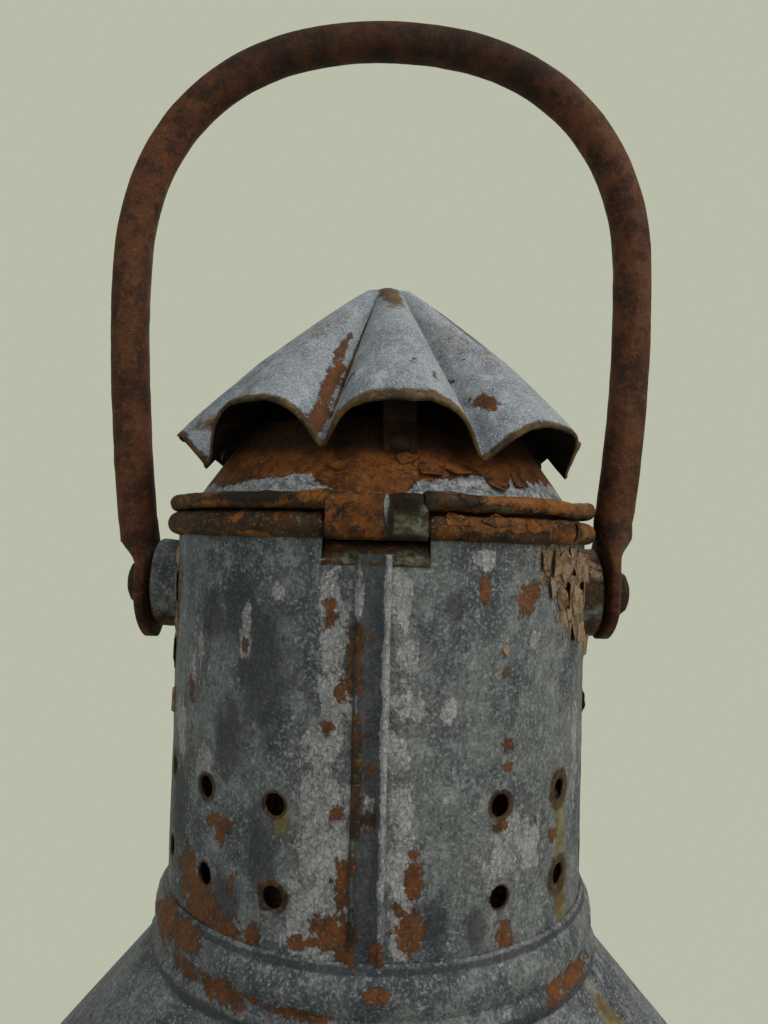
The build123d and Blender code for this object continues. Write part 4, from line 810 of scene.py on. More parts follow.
# %% Bend the strap
STRAP_SECTION = divided([
    (-53.2, 411.7), (-55.5, 411.9), (-57.2, 411.7), (-58.2, 410.9), (-58.6, 409.4), (-58.6, 406.5), (-58.6, 403.8),
    (-58.1, 402.3), (-57, 401.6), (-55.6, 401.5), (-54.2, 401.8), (-53.3, 402.7), (-52.95, 404), (-52.95, 408),
], 0.7)
STRAP_MARKS = {
    "dark": [(5.5, 410.5, 4.2, 3), (-12, 402, 2, 1.5), (1.6, 405, 0.9, 5), (5, 402, 5, 1.2)],
    "bare": [(7.8, 404.5, 1.6, 1.8), (3.2, 403.4, 1.2, 0.9), (8.8, 408.5, 1, 1.2), (0.9, 408.5, 0.5, 4.5)],
    "lichen": [(5.8, 405, 5.4, 4.4), (3.6, 402.6, 3, 2)],
}
STRAP_LEFT, STRAP_RIGHT, STRAP_COLUMNS = -12.55, 10.15, 60
STRAP_FRONT, STRAP_TOP = -59.3, 412.8
points = []
for column in range(STRAP_COLUMNS):
    across = STRAP_LEFT + (STRAP_RIGHT - STRAP_LEFT) * column / (STRAP_COLUMNS - 1)
    for depth, height in STRAP_SECTION:
        push = 0.22 * rough((across, depth, height), 5, 3, 6.0)
        # A bulge stands out at the upper right, and the plate's right part lies a little deeper.
        bulge = hump(across, 5.6, 3.4, 4) * hump(height, 409.6, 2.3, 4)
        deeper = 0.55 * limited(across - 0.6) if depth < -56 else 0.0
        proud = 1.5 * bulge if depth < -54 else 0.0
        front = max(depth + push + 0.2 + deeper - proud, STRAP_FRONT)
        points.append((across, front, min(height + push * 0.3 + bulge, STRAP_TOP)))
faces = skin_faces(STRAP_COLUMNS, len(STRAP_SECTION), capped=True)
add_piece("strap_plate", points, faces, "lid", STRAP_RED_LEAD, "hinge_strap", marks=STRAP_MARKS)
print("strap points:", len(points))

# %% [markdown]
# ## Crust and flakes
# Rust and old paint have built up in the notch under the strap. Thick paint has let go of the metal
# in tiles that curl away from it and throw small shadows. Those tiles are thin curved patches with a
# real thickness, since bump alone would vanish at the lantern's outline.

# %% Crust in the notch
# The slope, as radius and height, leans back so that the strap can swing past it as the lid opens.
CRUST_SLOPE = [
    (55.6, 395.4), (57, 395.9), (57.2, 396.5), (56.9, 397.2), (56.2, 397.9), (55.6, 398.5), (55.1, 399.2),
    (54.7, 400), (54.2, 400.7), (53.7, 401.2),
]
CRUST_START, CRUST_END, CRUST_ROWS, CRUST_COLUMNS = -13.6, 11.0, 24, 80
along = np.linspace(0, len(CRUST_SLOPE) - 1, CRUST_ROWS)
crust_radii, crust_heights = (np.interp(along, range(len(CRUST_SLOPE)), values) for values in zip(*CRUST_SLOPE))
points = []
for radius, height in zip(crust_radii, crust_heights):
    for column in range(CRUST_COLUMNS):
        azimuth = CRUST_START + (CRUST_END - CRUST_START) * column / (CRUST_COLUMNS - 1)
        lump = (0.4 if height < NOTCH_FLOOR else 0.22) * rough(around(57, azimuth, height), 2.6, 4, 11.0)
        points.append(around(min(radius + lump, 57.9), azimuth, height))
# The dark mark along the crust's top, just below the strap, is a painted shadow of the strap.
add_piece(
    "notch_crust", points, skin_faces(CRUST_ROWS, CRUST_COLUMNS, wrap_columns=False), "lantern", EDGE_RUST,
    marks={"lichen": [(6, 397.4, 5, 2), (-8, 397.4, 4, 1.4)], "dark": [(-1, 401.2, 14, 1.2)],
           "bare": [(8.6, 397.6, 1.6, 1)]},
)
print("crust points:", len(points))


# %% Curl the flakes
def curled_flakes(name, spots, body, finish, surface):
    """Chips on a surface of revolution. A spot is (azimuth, height, half width, half height, way, lift):
    the way, in degrees, is where the chip curls up, 0 to the right and 90 upwards."""
    points, faces = [], []
    rings, sectors = 6, 30
    for number, (azimuth, height, half_width, half_height, way, lift) in enumerate(spots):
        # A chip is a polygon of four to six uneven sides with a slightly frayed edge.
        sides = 4 + number % 3
        normals = [360 * k / sides + 22 * rough((k, number, 0), 0.7, 2) for k in range(sides)]
        reaches = [0.84 + 0.2 * rough((number, k, 3), 0.7, 2) for k in range(sides)]
        towards = math.radians(way)
        start = len(points)
        for ring in range(rings + 1):
            for sector in range(sectors if ring else 1):
                angle = 360 * sector / sectors
                cosine, sine = math.cos(math.radians(angle)), math.sin(math.radians(angle))
                edge = min(
                    reach / max(0.25, math.cos(math.radians(angle - normal)))
                    for reach, normal in zip(reaches, normals)
                )
                edge *= 1 + 0.10 * rough((cosine * 2, sine * 2, number), 0.6, 3)
                u, v = edge * ring / rings * cosine, edge * ring / rings * sine
                curl = max(0.0, u * math.cos(towards) + v * math.sin(towards) + 0.25) ** 2
                spot_height = height + v * half_height
                radius = surface(spot_height)
                turn = azimuth + math.degrees(u * half_width * (1 - 0.10 * curl) / radius)
                rise = 0.32 + lift * curl + 0.07 * rough((u * 3, v * 3, number * 5.1), 0.9, 3)
                points.append(around(radius + rise, turn, spot_height))
        first = start + 1
        faces += [(start, first + sector, first + (sector + 1) % sectors) for sector in range(sectors)]
        for a, b, c, d in skin_faces(rings, sectors):
            faces.append((first + a, first + d, first + c, first + b))
    piece = add_piece(name, points, faces, body, finish, crease=60, turn_outwards=False)
    thicken(piece, 0.3, INNER_RUST)


FLAKE_PAINT, tree, shader = new_finish("chalked primer", Roughness=0.85, Specular_IOR_Level=0.2)
grit = pattern(tree, 0.8, 4, 0.65, 1, 22.0)
chalked = lay(tree, "5A4128", [
    (pattern(tree, 5, 6, 0.7, 1.4, 21.0), (0.42, 0.58), "836E56", 1), (grit, (0.52, 0.66), "988C7C", 0.6),
    (grit, (0.44, 0.32), "38281C", 0.7),
])
dress(tree, shader, chalked, [(grit, 0.12)])
BARREL_FLAKES = [
    (43.5, 397.3, 2.2, 2.6, 190, 0.7), (48, 397, 2.3, 3.4, 170, 0.9), (52.5, 396.4, 2.4, 4.2, 10, 1),
    (57, 397.2, 2.2, 3.6, 200, 1.1), (46.8, 390.6, 2, 2.6, 200, 0.8), (51, 388.6, 1.9, 3.2, 350, 0.9),
    (55.6, 389.2, 2.3, 3.8, 180, 0.9), (60.5, 387.4, 2.4, 4.6, 0, 1.1), (63, 396, 2.4, 4.2, 20, 0.9),
    (66.5, 388, 2.2, 5, 170, 1), (70.5, 395, 2.3, 4.6, 0, 0.9), (59, 379.4, 1.4, 2.4, 200, 0.7),
    (64.5, 379, 1.6, 3, 0, 0.9), (30.5, 377.2, 0.9, 1.2, 250, 0.6), (-70.5, 396.5, 1.3, 3, 180, 0.5),
    (-72.5, 388, 0.9, 5, 10, 0.4), (-69.5, 379, 0.7, 4.4, 180, 0.4), (-73.5, 371, 0.8, 5.4, 0, 0.4),
    (-71.5, 358, 0.7, 4, 180, 0.4), (80, 374, 2, 4.5, 10, 0.9), (84, 358, 1.6, 4, 190, 0.8),
    (130, 394, 2.4, 4.8, 0, 0.9), (134, 386, 2.2, 4, 180, 0.9), (126.5, 386.5, 2, 3.4, 20, 0.8),
    (200, 379, 2.4, 4.2, 0, 1), (205, 386, 2.2, 4.2, 190, 0.8), (160, 340, 2, 3.4, 0, 0.9),
    (238, 352, 1.8, 3.2, 180, 0.7), (250, 331, 2.2, 3.6, 350, 0.9),
]
CONE_FLAKES = [
    (13, 418.6, 3.6, 1.7, 260, 1.1), (21, 419.2, 3.4, 1.6, 280, 0.9), (33.5, 416.6, 3.6, 2.6, 280, 1.3),
    (43, 417, 2.6, 1.8, 300, 0.8), (6, 421, 2.4, 1.6, 0, 0.7), (-12.5, 419, 2.4, 1.4, 190, 0.6),
    (110, 417, 3.2, 2, 270, 1.1), (185, 417.5, 3.4, 2, 260, 1), (262, 416.5, 3, 1.8, 280, 0.9),
]
BEAD_FLAKES = [
    (16.5, 406.4, 4, 1.5, 80, 0.9), (26, 406.5, 4.6, 1.4, 100, 1.1), (36, 405.6, 3.4, 1.9, 120, 0.8),
    (46, 404.8, 3, 2.2, 60, 0.7), (54.5, 404.4, 2.6, 2.4, 150, 0.6),
]


def on_bead(height):
    """Radius of the lower edge's outer side at a height, just under its surface."""
    return RIM_RADIUS - 0.25 + math.sqrt(max(0.3, RIM_BEAD**2 - (height - RIM_HEIGHT) ** 2))


curled_flakes("barrel_flakes", BARREL_FLAKES, "lantern", FLAKE_PAINT, lambda height: BARREL_RADIUS - 0.3)
curled_flakes("cone_flakes", CONE_FLAKES, "lid", LID_RED_LEAD, lambda height: 52.45 - (height - 411.1) * 0.68)
curled_flakes("bead_flakes", BEAD_FLAKES, "lantern", LID_RED_LEAD, on_bead)
print("flakes:", len(BARREL_FLAKES + CONE_FLAKES + BEAD_FLAKES))

# %% [markdown]
# ## The fluted cap
# The cap is one round sheet drawn into eight open lobes. Each lobe's crest bulges a little and each
# valley is nearly straight, sharp near the crown and softer at the rim. Rows of points run from the
# scalloped rim to the crown. A Solidify modifier gives the sheet its thickness and lets the inside
# take a second material, the soot.

# %% The cap's lobes and its rim
CROWN_HEIGHT, CROWN_RINGS = 472.2, (6.0, 3.0)
CREST_START, CREST_REACH, CREST_DROP, CREST_BULGE = 8.6, 51.6, 42.6, 0.23
VALLEY_START, VALLEY_REACH, VALLEY_DROP = 7.8, 40.7, 50.2
RIM_APEX, RIM_RISE = 390.496, 0.6496
LOBES, CREST_AZIMUTH, LOBE_STEP = 8, 5.0, 45.0
# The real rim was cut by eye: arches and valleys differ by a few millimetres round the cap.
CREST_TRIM = (-4.6, -0.6, -1.5, -2.0, -1.0, -2.0, 0.0, -5.2)
VALLEY_TRIM = (2.6, 4.0, 1.5, 1.0, 1.5, 1.5, 4.0, 0.0)


def across_lobe(azimuth):
    """0 on a lobe's crest line, 1 in the valley on either side."""
    turn = (azimuth - CREST_AZIMUTH + LOBE_STEP / 2) % LOBE_STEP - LOBE_STEP / 2
    return abs(turn / (LOBE_STEP / 2))


def cap_radius(drop, azimuth):
    """Radius of the cap's sheet at a drop below the crown and an azimuth."""
    share = drop / CREST_DROP
    crest = CREST_START + CREST_REACH * (share + CREST_BULGE * share * (1 - share))
    valley = VALLEY_START + VALLEY_REACH * drop / VALLEY_DROP
    climb = 1 - across_lobe(azimuth) ** (2.0 + 1.3 * min(1.0, share) ** 2)
    softness = 0.03 + 0.09 * min(1.0, share)
    return valley + (crest - valley) * (math.sqrt(climb**2 + softness**2) - softness * climb)


def rim_drop(azimuth):
    """The drop at which a column of the cap meets its scalloped rim, which lies on a cone."""
    low, high = 20.0, 56.0
    for _ in range(30):
        middle = (low + high) / 2
        above = CROWN_HEIGHT - middle > RIM_APEX + RIM_RISE * cap_radius(middle, azimuth)
        low, high = (middle, high) if above else (low, middle)
    turns = (azimuth - CREST_AZIMUTH) / LOBE_STEP
    weight = 1 - across_lobe(azimuth) ** 4
    return low + CREST_TRIM[round(turns) % LOBES] * weight + VALLEY_TRIM[math.floor(turns) % LOBES] * (1 - weight)


print("drop of the rim on a crest:", round(rim_drop(CREST_AZIMUTH), 1))

# %% Draw the cap
CAP_ROWS, CAP_COLUMNS = 64, 46 * LOBES
azimuths = [360 * column / CAP_COLUMNS for column in range(CAP_COLUMNS)]
drops = [rim_drop(azimuth) - 0.5 + min(0.4, 0.55 * rough(around(60, azimuth, 0), 9, 3, 1.0)) for azimuth in azimuths]
points, rim_rust = [], []
for row in range(CAP_ROWS):
    share = 1 - row / (CAP_ROWS - 1)
    for azimuth, rim in zip(azimuths, drops):
        radius, height = cap_radius(rim * share, azimuth), CROWN_HEIGHT - rim * share
        spot = around(radius, azimuth, height)
        push = (0.55 * rough(spot, 24, 3, 7.0) + 0.07 * rough(spot, 3, 3, 9.0)) * min(1.0, share * 2)
        points.append(around(min(radius + push - 0.3, 60.1), azimuth, height))
        # Rust creeps up from the cut edge, and twice as far on the front lobe.
        rust_reach = 1.2 + 1.2 * hump(aside(azimuth, CREST_AZIMUTH), 0, 15, 4)
        rim_rust.append(limited(1 - 0.5 * rim * (1 - share) / rust_reach))
for radius in CROWN_RINGS:
    points += [around(radius, azimuth, CROWN_HEIGHT + 0.05) for azimuth in azimuths]
    rim_rust += [0.66] * CAP_COLUMNS
cap_rows = CAP_ROWS + len(CROWN_RINGS)
faces = skin_faces(cap_rows, CAP_COLUMNS)
faces.append(tuple(range((cap_rows - 1) * CAP_COLUMNS, cap_rows * CAP_COLUMNS)))
CAP_MARKS = {
    "red_lead": [
        (-20.5, 440, 1.1, 7.5), (-20, 430, 1.2, 5), (-22.5, 450, 0.8, 5), (26.7, 446.5, 0.8, 1.6),
        (-14, 428.5, 1.3, 3.5), (32.5, 436, 1.7, 2.6), (28.5, 442, 1.3, 0.6), (-33, 431, 0.6, 2),
        (15, 441, 0.6, 1), (150, 440, 2, 7), (205, 432, 3, 5), (98, 446, 1.4, 5),
    ],
    "chalk": [(-38, 455, 3, 4), (-30, 461, 2, 3), (36, 455, 3, 4), (44, 449, 3, 2.5), (-45, 436, 3, 2)],
}
CAP_RUST = [
    (1, 471, 6.5, 2.6), (7, 468.5, 4, 4.6), (49, 460, 0.8, 8), (-85, 455, 1, 12), (-60, 432, 4, 3),
    (26.5, 455, 0.3, 12), (-17.5, 449, 0.32, 22),
]
cap_rust = np.maximum(rim_rust, nearness(np.array(points), CAP_RUST, 20.0))
cap_sheet = add_piece(
    "cap_sheet", points, faces, "lid", CAP_ZINC, "fluted_cap", crease=60, wear={"rust": cap_rust},
    marks=CAP_MARKS, mark_radius=38.0,
)
thicken(cap_sheet, 0.9, SOOT)
print("cap points:", len(points))

# %% [markdown]
# ## The stud on the crown
# A short rivet holds the cap. Only its domed, rusted head shows on top of the crown. It is turned
# like a lathe part, from an outline of radii and heights.


# %% Turn the stud
def turned(name, outline, body, finish, steps, relief, relief_size, **more):
    """A closed outline of (radius, height) points, turned about the axis and gently dented."""
    points = []
    for radius, height in outline:
        for step in range(steps):
            azimuth = 360 * step / steps
            push = relief * rough(around(radius, azimuth, height), relief_size)
            points.append(around(radius + push, azimuth, height))
    return add_piece(name, points, skin_faces(len(outline), steps, wrap_rows=True), body, finish, **more)


STUD_OUTLINE = [
    (0.02, 447), (2, 447), (2, 472.15), (3.7, 472.2), (3.75, 472.9), (3.2, 473.8), (2, 474.3), (0.02, 474.4),
]
crown_stud = turned("crown_stud", STUD_OUTLINE, "lid", RIVET_IRON, 48, 0.08, 2.5, stands_for="cap_stud")
print("stud points:", len(crown_stud.data.vertices))

# %% [markdown]
# ## The bail
# The bail was forged from one round bar, so it is one tube from end to end. The bar follows arcs
# that touch each other, and its last length is hammered into a flat, round-ended paddle. Each
# station of the tube has its own width and thickness, and a squareness that turns the round bar
# into the flat paddle.

# %% Walk along the right half of the bail
ROD = 5.5
ROUND, FLAT = 2.0, 4.0
PADDLE_REACH, PADDLE_RADIUS, PADDLE_HALF = 65.9, 14.0, 2.2
LEG_FOOT = 68.45
# The leg, the shoulder and the crown: centre x and z, radius, start and end angle, stations.
CROWN_TURN = 90 - 13.014
ARCS = [
    (-565.115, 484.539, 638.415, -7.03, 0, 44), (9.3, 484.539, 64.0, 0, CROWN_TURN, 40),
    (0, 444.3, 105.3, CROWN_TURN, 90, 14),
]


def right_half():
    """Stations from the paddle's tip up to the crown's middle: place, half width, half depth, squareness."""
    half = []
    for step in range(15):
        height = PIVOT_HEIGHT - 13.95 * math.cos(math.radians(90 * step / 14))
        width = math.sqrt(max(PADDLE_RADIUS**2 - (height - PIVOT_HEIGHT) ** 2, 0.2))
        tuck = 1.6 * max(0.0, (PIVOT_HEIGHT - 3 - height) / 11) ** 2
        half.append(((PADDLE_REACH - tuck * 0.4, 0, height), width, PADDLE_HALF - 0.3 * tuck, FLAT))
    for step in range(1, 15):
        share = step / 14
        height = PIVOT_HEIGHT + share * 18.5
        width = math.sqrt(PADDLE_RADIUS**2 - (share * 13.2) ** 2) if share < 0.92 else 6.6
        width = max(width, 5.9 + 1.0 * (1 - share))
        swell = eased((height - 395.2) / 7.0)
        place = (PADDLE_REACH + (LEG_FOOT - PADDLE_REACH) * swell, 0, height)
        half.append((place, width + (ROD - width) * swell * 0.8, PADDLE_HALF + (ROD - PADDLE_HALF) * swell,
                     FLAT + (ROUND - FLAT) * swell))
    for centre_x, centre_z, radius, start, end, count in ARCS:
        for step in range(1, count + 1):
            turn = math.radians(start + (end - start) * step / count)
            # Rounding puts the crown's middle exactly on the lantern's axis.
            place = (round(centre_x + radius * math.cos(turn), 9), 0, centre_z + radius * math.sin(turn))
            half.append((place, ROD, ROD, ROUND))
    return half


half = right_half()
print("stations of one half:", len(half))


# %% Lean the bail as the real one leans, and forge it
def leaned(place):
    """The bar's real place: it leans to the left and its crown has settled a little."""
    reach, depth, height = place
    climb, settle = eased((height - 393) / 16), limited((height - 470) / 75)
    low = 1 - limited((height - 393) / 16)
    foot = limited((height - 388) / 8) * limited((440 - height) / 34)
    pinch = 1.1 * hump(height, 500, 26)
    height -= 1.9 * settle
    if place[0] > 0:
        reach, height, stretch = reach - pinch - 1.9 * low, height + 2.4 * foot, 0.94
    else:
        reach, height, stretch = reach + pinch, height - 2.0 * foot, 1.10
    if height < PIVOT_HEIGHT:
        height = PIVOT_HEIGHT + (height - PIVOT_HEIGHT) * stretch
    return reach - 1.8 * climb + 0.9 * settle, depth, height


whole = half + [((-place[0], *place[1:]), *rest) for place, *rest in half[-2::-1]]
whole = [(leaned(place), *rest) for place, *rest in whole]
stations = []
for index, (place, width, depth, squareness) in enumerate(whole):
    before, after = whole[max(index - 1, 0)][0], whole[min(index + 1, len(whole) - 1)][0]
    run = (Vector(after) - Vector(before)).normalized()
    across = Vector((0, 1, 0))
    along = Vector((1, 0, 0)) if squareness > 2.01 else across.cross(run).normalized()
    if stations and along.dot(stations[-1][2]) < 0:
        along = -along
    stations.append((place, across, along, width - 0.05, depth - 0.05, squareness))
BAR_SIDES = 40
# The bar darkens towards its crown, from 510 mm up.
darker_towards_crown = [0.62 * limited((station[0][2] - 510) / 28) for station in stations for _ in range(BAR_SIDES)]
tube("bail_rod", stations, "bail", BAIL_IRON, BAR_SIDES, 0.14, 7.0, stands_for="bail", wear={"dark": darker_towards_crown})
print("bail stations:", len(stations))

# %% [markdown]
# ## Bosses and pivots
# A thick disc of zinc-coated iron stands on each side of the chimney, and the bail's paddle turns
# on a rivet through it. The discs have rounded edges and the rivet heads are low rusted domes.


# %% Discs and rivet heads on the pivots' line
def rounded(outline, radius, segments=4):
    """A closed outline with every corner rounded, so that edges catch the light."""
    made = []
    for index, corner in enumerate(outline):
        here = Vector(corner)
        before = Vector(outline[index - 1]) - here
        after = Vector(outline[(index + 1) % len(outline)]) - here
        reach = min(radius, 0.45 * before.length, 0.45 * after.length)
        start, end = here + before.normalized() * reach, here + after.normalized() * reach
        for step in range(segments + 1):
            share = step / segments
            made.append(tuple(start * (1 - share) ** 2 + here * 2 * share * (1 - share) + end * share**2))
    return made


def on_pivot(name, outline, side, finish, stands_for, relief, relief_size, back=0.0, **more):
    """An outline of (radius, distance from the axis) turned about the pivots' line. Its back end
    follows a cylinder of the back radius round the lantern's axis."""
    points, steps = [], 72
    for radius, reach in divided(outline, 0.9):
        for step in range(steps):
            turn = 2 * math.pi * step / steps
            across, up = radius * math.cos(turn), radius * math.sin(turn)
            wall = math.sqrt(back**2 - across**2) if back else 0.0
            spot = (side * max(reach, wall), across, PIVOT_HEIGHT + up)
            push = relief * rough(spot, relief_size, 3, 2.0 + side)
            spread = (radius + push) / radius if radius > 0.5 else 1.0
            points.append((spot[0], across * spread, PIVOT_HEIGHT + up * spread))
    faces = skin_faces(len(points) // steps, steps, wrap_rows=True)
    return add_piece(name, points, faces, "lantern", finish, stands_for, **more)


BOSS_OUTLINE = rounded([(4.2, 50.5), (12.4, 50.5), (12.4, 63.5), (8.4, 63.5), (7.6, 62.6), (4.2, 62.6)], 1.5)
PIVOT_OUTLINE = [
    (0.02, 52.9), (3.6, 52.9), (5.7, 54.3), (3.9, 54.5), (3.9, 67.9), (6.1, 67.9), (6.3, 68.6), (6.1, 69.8),
    (5.3, 71), (3.6, 71.8), (1.8, 72.1), (0.02, 72.2),
]
# On each side, the flaking and rust marks, and how far the outer end sits from its drawn place.
PIVOT_SIDES = {
    1: ("right", [(90, 388, 7, 9), (96, 380, 5, 5), (82, 396, 6, 5)],
        [(88, 380, 9, 6), (88, 396, 7, 4), (80, 388, 5, 4)], -2.1),
    -1: ("left", [(-88, 377, 6, 3), (-84, 380, 3, 2)], [(-88, 378, 8, 3.5), (-90, 396, 6, 2)], 0.0),
}
for side, (hand, flaking, rust, shift) in PIVOT_SIDES.items():
    on_pivot(
        "boss_" + hand, [(r, x + shift * (x > 60)) for r, x in BOSS_OUTLINE], side, BARREL_ZINC, "bail_bosses",
        0.3, 5.0, back=BARREL_RADIUS - 0.4, marks={"flaking": flaking, "rust": rust},
    )
    on_pivot(
        "pivot_" + hand, [(r, x + 0.6 * shift * (x > 60)) for r, x in PIVOT_OUTLINE], side, RIVET_IRON,
        "bail_pivots", 0.25, 3.0,
    )
print("pivots:", len(PIVOT_SIDES))

# %% [markdown]
# ## Collar and shoulder
# The collar is a strip of sheet rolled to a soft bulge, soldered where the barrel meets the cone.
# The shoulder is a spun cone that widens in two slopes to a wired brim.

# %% Turn the collar and the shoulder
COLLAR_OUTLINE = [
    (57.2, 296.6), (60, 293.2), (61.1, 293.3), (61.2, 295.6), (59.4, 298.3), (60.1, 300.4), (60.4, 302.6),
    (60.2, 304.8), (59.4, 306.6), (58.4, 308.2), (57.9, 309.6), (57.2, 309.9), (57.1, 305),
]
COLLAR_MARKS = {
    "red_lead": [
        (0.5, 304.7, 3, 1.6), (-47.9, 300.2, 6.7, 2.3), (-33.8, 299.6, 7.8, 2.6), (44.7, 296.7, 2.9, 2.3),
        (54, 297.6, 10.5, 2.4), (-62, 305, 8, 5), (-50, 306.5, 7, 3.5), (-16, 299, 8, 1.2),
    ],
    "dark": [(0, 294.5, 200, 1.4), (-5, 308.6, 200, 0.7)],
}
turned(
    "collar_band", divided([(radius - 0.25, height) for radius, height in COLLAR_OUTLINE], 0.8), "lantern",
    BARREL_ZINC, 320, 0.35, 10.0, stands_for="collar", crease=60, marks=COLLAR_MARKS, mark_radius=60.0,
)
SHOULDER_OUTLINE = [(57.2, 296.7), (56.4, 296.1), (92.3, 254.6), (112.5, 229.4), (113.5, 229.6), (93.3, 255.0)]
SHOULDER_MARKS = {
    "red_lead": [(-30, 288, 5, 1.6), (-42, 283, 3, 2), (25, 286, 2, 3), (-55, 279, 2.5, 3.5), (50, 280, 3, 1.5)],
    "lichen": [(62, 282, 4, 9), (70, 270, 3, 9)],
}
shoulder_cone = turned(
    "shoulder_cone", divided(rounded(SHOULDER_OUTLINE, 2.0), 1.6), "lantern", SHOULDER_ZINC, 420, 0.35, 22.0,
    stands_for="shoulder", crease=60, marks=SHOULDER_MARKS, mark_radius=75.0,
)
rolled_edge("brim_roll", 115.699, 229.2, 2.5, 0, 359.2, "lantern", WIRE_ZINC, lambda azimuth: (0.0, -0.15), 0.12)
print("shoulder points:", len(shoulder_cone.data.vertices))

# %% [markdown]
# ## The wick
# The wick is a flat band plaited from cotton cords, soft, with a charred upper end. Its cords stand
# out as ribs along it, and each rib is pinched where the plait crosses it. Both are drawn into the
# mesh, with the ribs' pitch close to the real one.

# %% Plait the wick
RIB_PITCH, CROSSING_PITCH = 1.5, 2.0
WICK_ROWS, WICK_SIDES, WICK_CORNER = 180, 132, 0.45
low, high = (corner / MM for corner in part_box("wick"))
middle = (low + high) / 2
half_width, half_thickness = (high.x - low.x) / 2 - 0.2, (high.y - low.y) / 2 - 0.25
wick_foot, wick_top = low.z + 0.2, high.z - 0.2
points, char = [], []
for row in range(WICK_ROWS):
    height = wick_foot + (wick_top - wick_foot) * row / (WICK_ROWS - 1)
    for side in range(WICK_SIDES):
        turn = 2 * math.pi * side / WICK_SIDES
        across = half_width * squared(math.cos(turn), WICK_CORNER)
        depth = half_thickness * squared(math.sin(turn), WICK_CORNER)
        rib = math.floor(across / RIB_PITCH)
        ridge = abs(math.sin(math.pi * across / RIB_PITCH))
        crossing = abs(math.sin(math.pi * (height / CROSSING_PITCH + 0.5 * (rib % 2))))
        plump = 0.85 + 0.15 * ridge * (0.5 + 0.5 * crossing)
        points.append((middle.x + across, middle.y + depth * plump, height))
        char.append(limited((height - wick_top + 5) / 4))
faces = skin_faces(WICK_ROWS, WICK_SIDES, capped=True)
add_piece("plaited_wick", points, faces, "wick", COTTON, "wick", crease=60, wear={"char": char})
print("wick, mm:", [round(size, 1) for size in (2 * half_width, 2 * half_thickness, wick_top - wick_foot)])

# %% [markdown]
# ## Finishes on the nodes that stay
# The rest of the lantern keeps its CAD shapes and takes the finishes made above. A finish is put in
# a node's own material slots, which leaves its mesh as it is.

# %% Dress the CAD nodes
NODE_FINISHES = [
    (LOWER_ZINC, "base_drum foot_ring base_deck lens_ring"), (BARREL_ZINC, "chimney"), (CAP_ZINC, "fluted_cap"),
    (WIRE_ZINC, "tie_rods tie_rod_nuts guard_hoops lifting_loop"), (SHOULDER_ZINC, "shoulder collar bail_bosses"),
    (INNER_RUST, "base_floor font_seat lid_spigot"), (SLEEVE_RUST, "draught_sleeve"), (BAIL_IRON, "bail"),
    (RIVET_IRON, "rim_wire pivot_washers bail_pivots cap_stud"), (SOOT_AND_SHADE_IRON, "cap_brackets bracket_rivets"),
    (LID_RED_LEAD, "lid_shell"), (STRAP_RED_LEAD, "hinge_strap"), (EDGE_RUST, "lift_tab"),
    (SOOT, "smoke_deflector stud_spacer"), (LENS_GLASS, "lens"), (CORK, "lower_gasket upper_gasket filler_washer"),
    (TIN, "font_tank font_head"), (COTTON, "wick"),
    (BRASS, "filler_neck filler_cap burner_collar gallery wick_tube flame_dome wick_spindle wick_knob"),
]
dressed = set()
for finish, node_names in NODE_FINISHES:
    for node_name in node_names.split():
        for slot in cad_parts[node_name].material_slots:
            slot.material = finish
            dressed.add(node_name)
print("dressed:", len(dressed), "left plain:", sorted(set(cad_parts) - dressed))

# %% [markdown]
# ## Floor, backdrop and light
# The photograph has a pale tiled wall behind the lantern; here it is a plain pale colour in the
# world. The floor is a pale disc that keeps the lantern's soft shadow and fades to the backdrop's
# colour away from it, so no horizon line shows. The light is a large soft lamp above on the right,
# weaker ones on the right, on the left and behind, and an even sky, as in the photograph, where the
# right side is lighter.

# %% Floor
BACKDROP = "B9BCA8"
FLOOR_RADIUS, FLOOR_RINGS, FLOOR_STEPS = 3.0, 24, 96
floor_points = [(0.0, 0.0, 0.0)]
for ring in range(1, FLOOR_RINGS + 1):
    reach = FLOOR_RADIUS * (ring / FLOOR_RINGS) ** 1.6
    for step in range(FLOOR_STEPS):
        turn = 2 * math.pi * step / FLOOR_STEPS
        floor_points.append((reach * math.cos(turn), reach * math.sin(turn), -0.0002))
floor_faces = [(0, 1 + step, 1 + (step + 1) % FLOOR_STEPS) for step in range(FLOOR_STEPS)]
floor_faces += [tuple(index + 1 for index in face) for face in skin_faces(FLOOR_RINGS, FLOOR_STEPS)]
floor_mesh = bpy.data.meshes.new("floor")
floor_mesh.from_pydata(floor_points, [], floor_faces)
floor = bpy.data.objects.new("floor", floor_mesh)
bpy.context.scene.collection.objects.link(floor)
print("floor faces:", len(floor_faces))


# %% Backdrop colour where the floor and the world are looked at
def looked_at(tree):
    """1 for what the camera sees itself, in a mirror or through glass; 0 where light falls on things."""
    rays = add_node(tree, "ShaderNodeLightPath").outputs
    seen = rays["Is Camera Ray"]
    for kind in ("Is Glossy Ray", "Is Transmission Ray"):
        seen = add_node(tree, "ShaderNodeMath", {0: seen, 1: rays[kind]}, operation="MAXIMUM").outputs[0]
    return seen


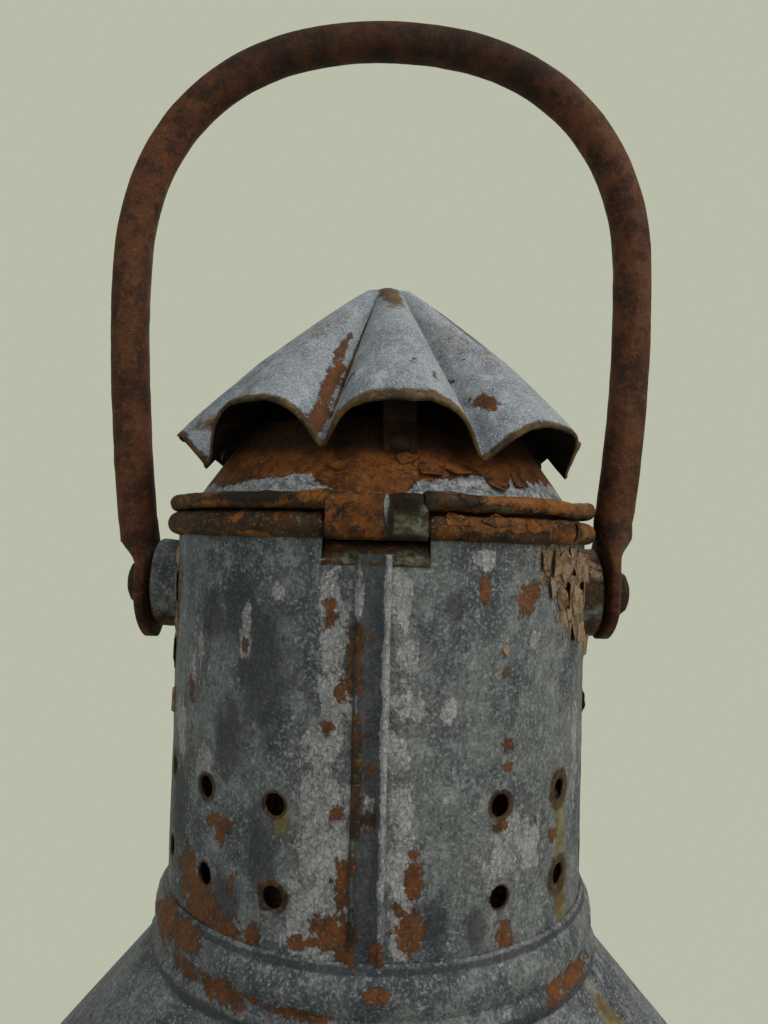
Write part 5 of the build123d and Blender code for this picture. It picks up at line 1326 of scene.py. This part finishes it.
PLASTER, tree, shader = new_finish("pale plaster floor", Roughness=0.9)
speckled = lay(tree, "B7BAA9", [(pattern(tree, 4, 4, 0.6, 1, 4.0), None, "C2C5B5", 0.6)])
tree.links.new(speckled, shader.inputs["Base Color"])
glow = add_node(tree, "ShaderNodeEmission", {"Color": linear(BACKDROP), "Strength": 1.0})
place = add_node(tree, "ShaderNodeTexCoord").outputs["Object"]
distance = add_node(tree, "ShaderNodeVectorMath", {0: place}, operation="LENGTH").outputs["Value"]
far = mask_between(tree, distance, 0.25, 0.62, looked_at(tree))
mixed = add_node(tree, "ShaderNodeMixShader", {0: far, 1: shader.outputs[0], 2: glow.outputs[0]})
tree.links.new(mixed.outputs[0], tree.nodes["Material Output"].inputs["Surface"])
floor_mesh.materials.append(PLASTER)

world = bpy.data.worlds.new("studio")
bpy.context.scene.world = world
world.use_nodes = True
tree = world.node_tree
tree.nodes.clear()
heading = add_node(tree, "ShaderNodeTexCoord").outputs["Generated"]
up = add_node(tree, "ShaderNodeSeparateXYZ", {0: heading}).outputs["Z"]
sky = {"Value": up, "From Min": -0.6, "From Max": 0.9, "To Min": 0.16, "To Max": 0.62}
sky_strength = add_node(tree, "ShaderNodeMapRange", sky).outputs[0]
even = add_node(tree, "ShaderNodeBackground", {"Color": linear("EEF1EF"), "Strength": sky_strength}).outputs[0]
wall = add_node(tree, "ShaderNodeBackground", {"Color": linear(BACKDROP), "Strength": 1.0}).outputs[0]
sky_or_wall = add_node(tree, "ShaderNodeMixShader", {0: looked_at(tree), 1: even, 2: wall}).outputs[0]
add_node(tree, "ShaderNodeOutputWorld", {0: sky_or_wall})
print("backdrop:", BACKDROP)

# %% Lamps: place in metres, height looked at, size in metres, power in watts, colour
LAMPS = {
    "lamp above right": ((0.75, -0.55, 1.35), 0.38, 0.8, 11.0, "FFFDF6"),
    "lamp right": ((1.0, -0.75, 0.45), 0.38, 0.6, 2.0, "FFFDF8"),
    "lamp left": ((-0.9, -0.8, 0.7), 0.38, 0.7, 2.2, "F4F8FF"),
    "lamp behind": ((0.2, 0.9, 1.1), 0.4, 0.7, 4.0, "FFFFFF"),
}
for name, (place, aim_height, size, power, colour) in LAMPS.items():
    data = bpy.data.lights.new(name, "AREA")
    data.size, data.energy, data.color = size, power, linear(colour)[:3]
    lamp = bpy.data.objects.new(name, data)
    lamp.location = place
    lamp.rotation_euler = (Vector((0, 0, aim_height)) - Vector(place)).to_track_quat("-Z", "Y").to_euler()
    bpy.context.scene.collection.objects.link(lamp)
bpy.context.scene.view_settings.view_transform = "Standard"
print("lamps:", len(LAMPS))
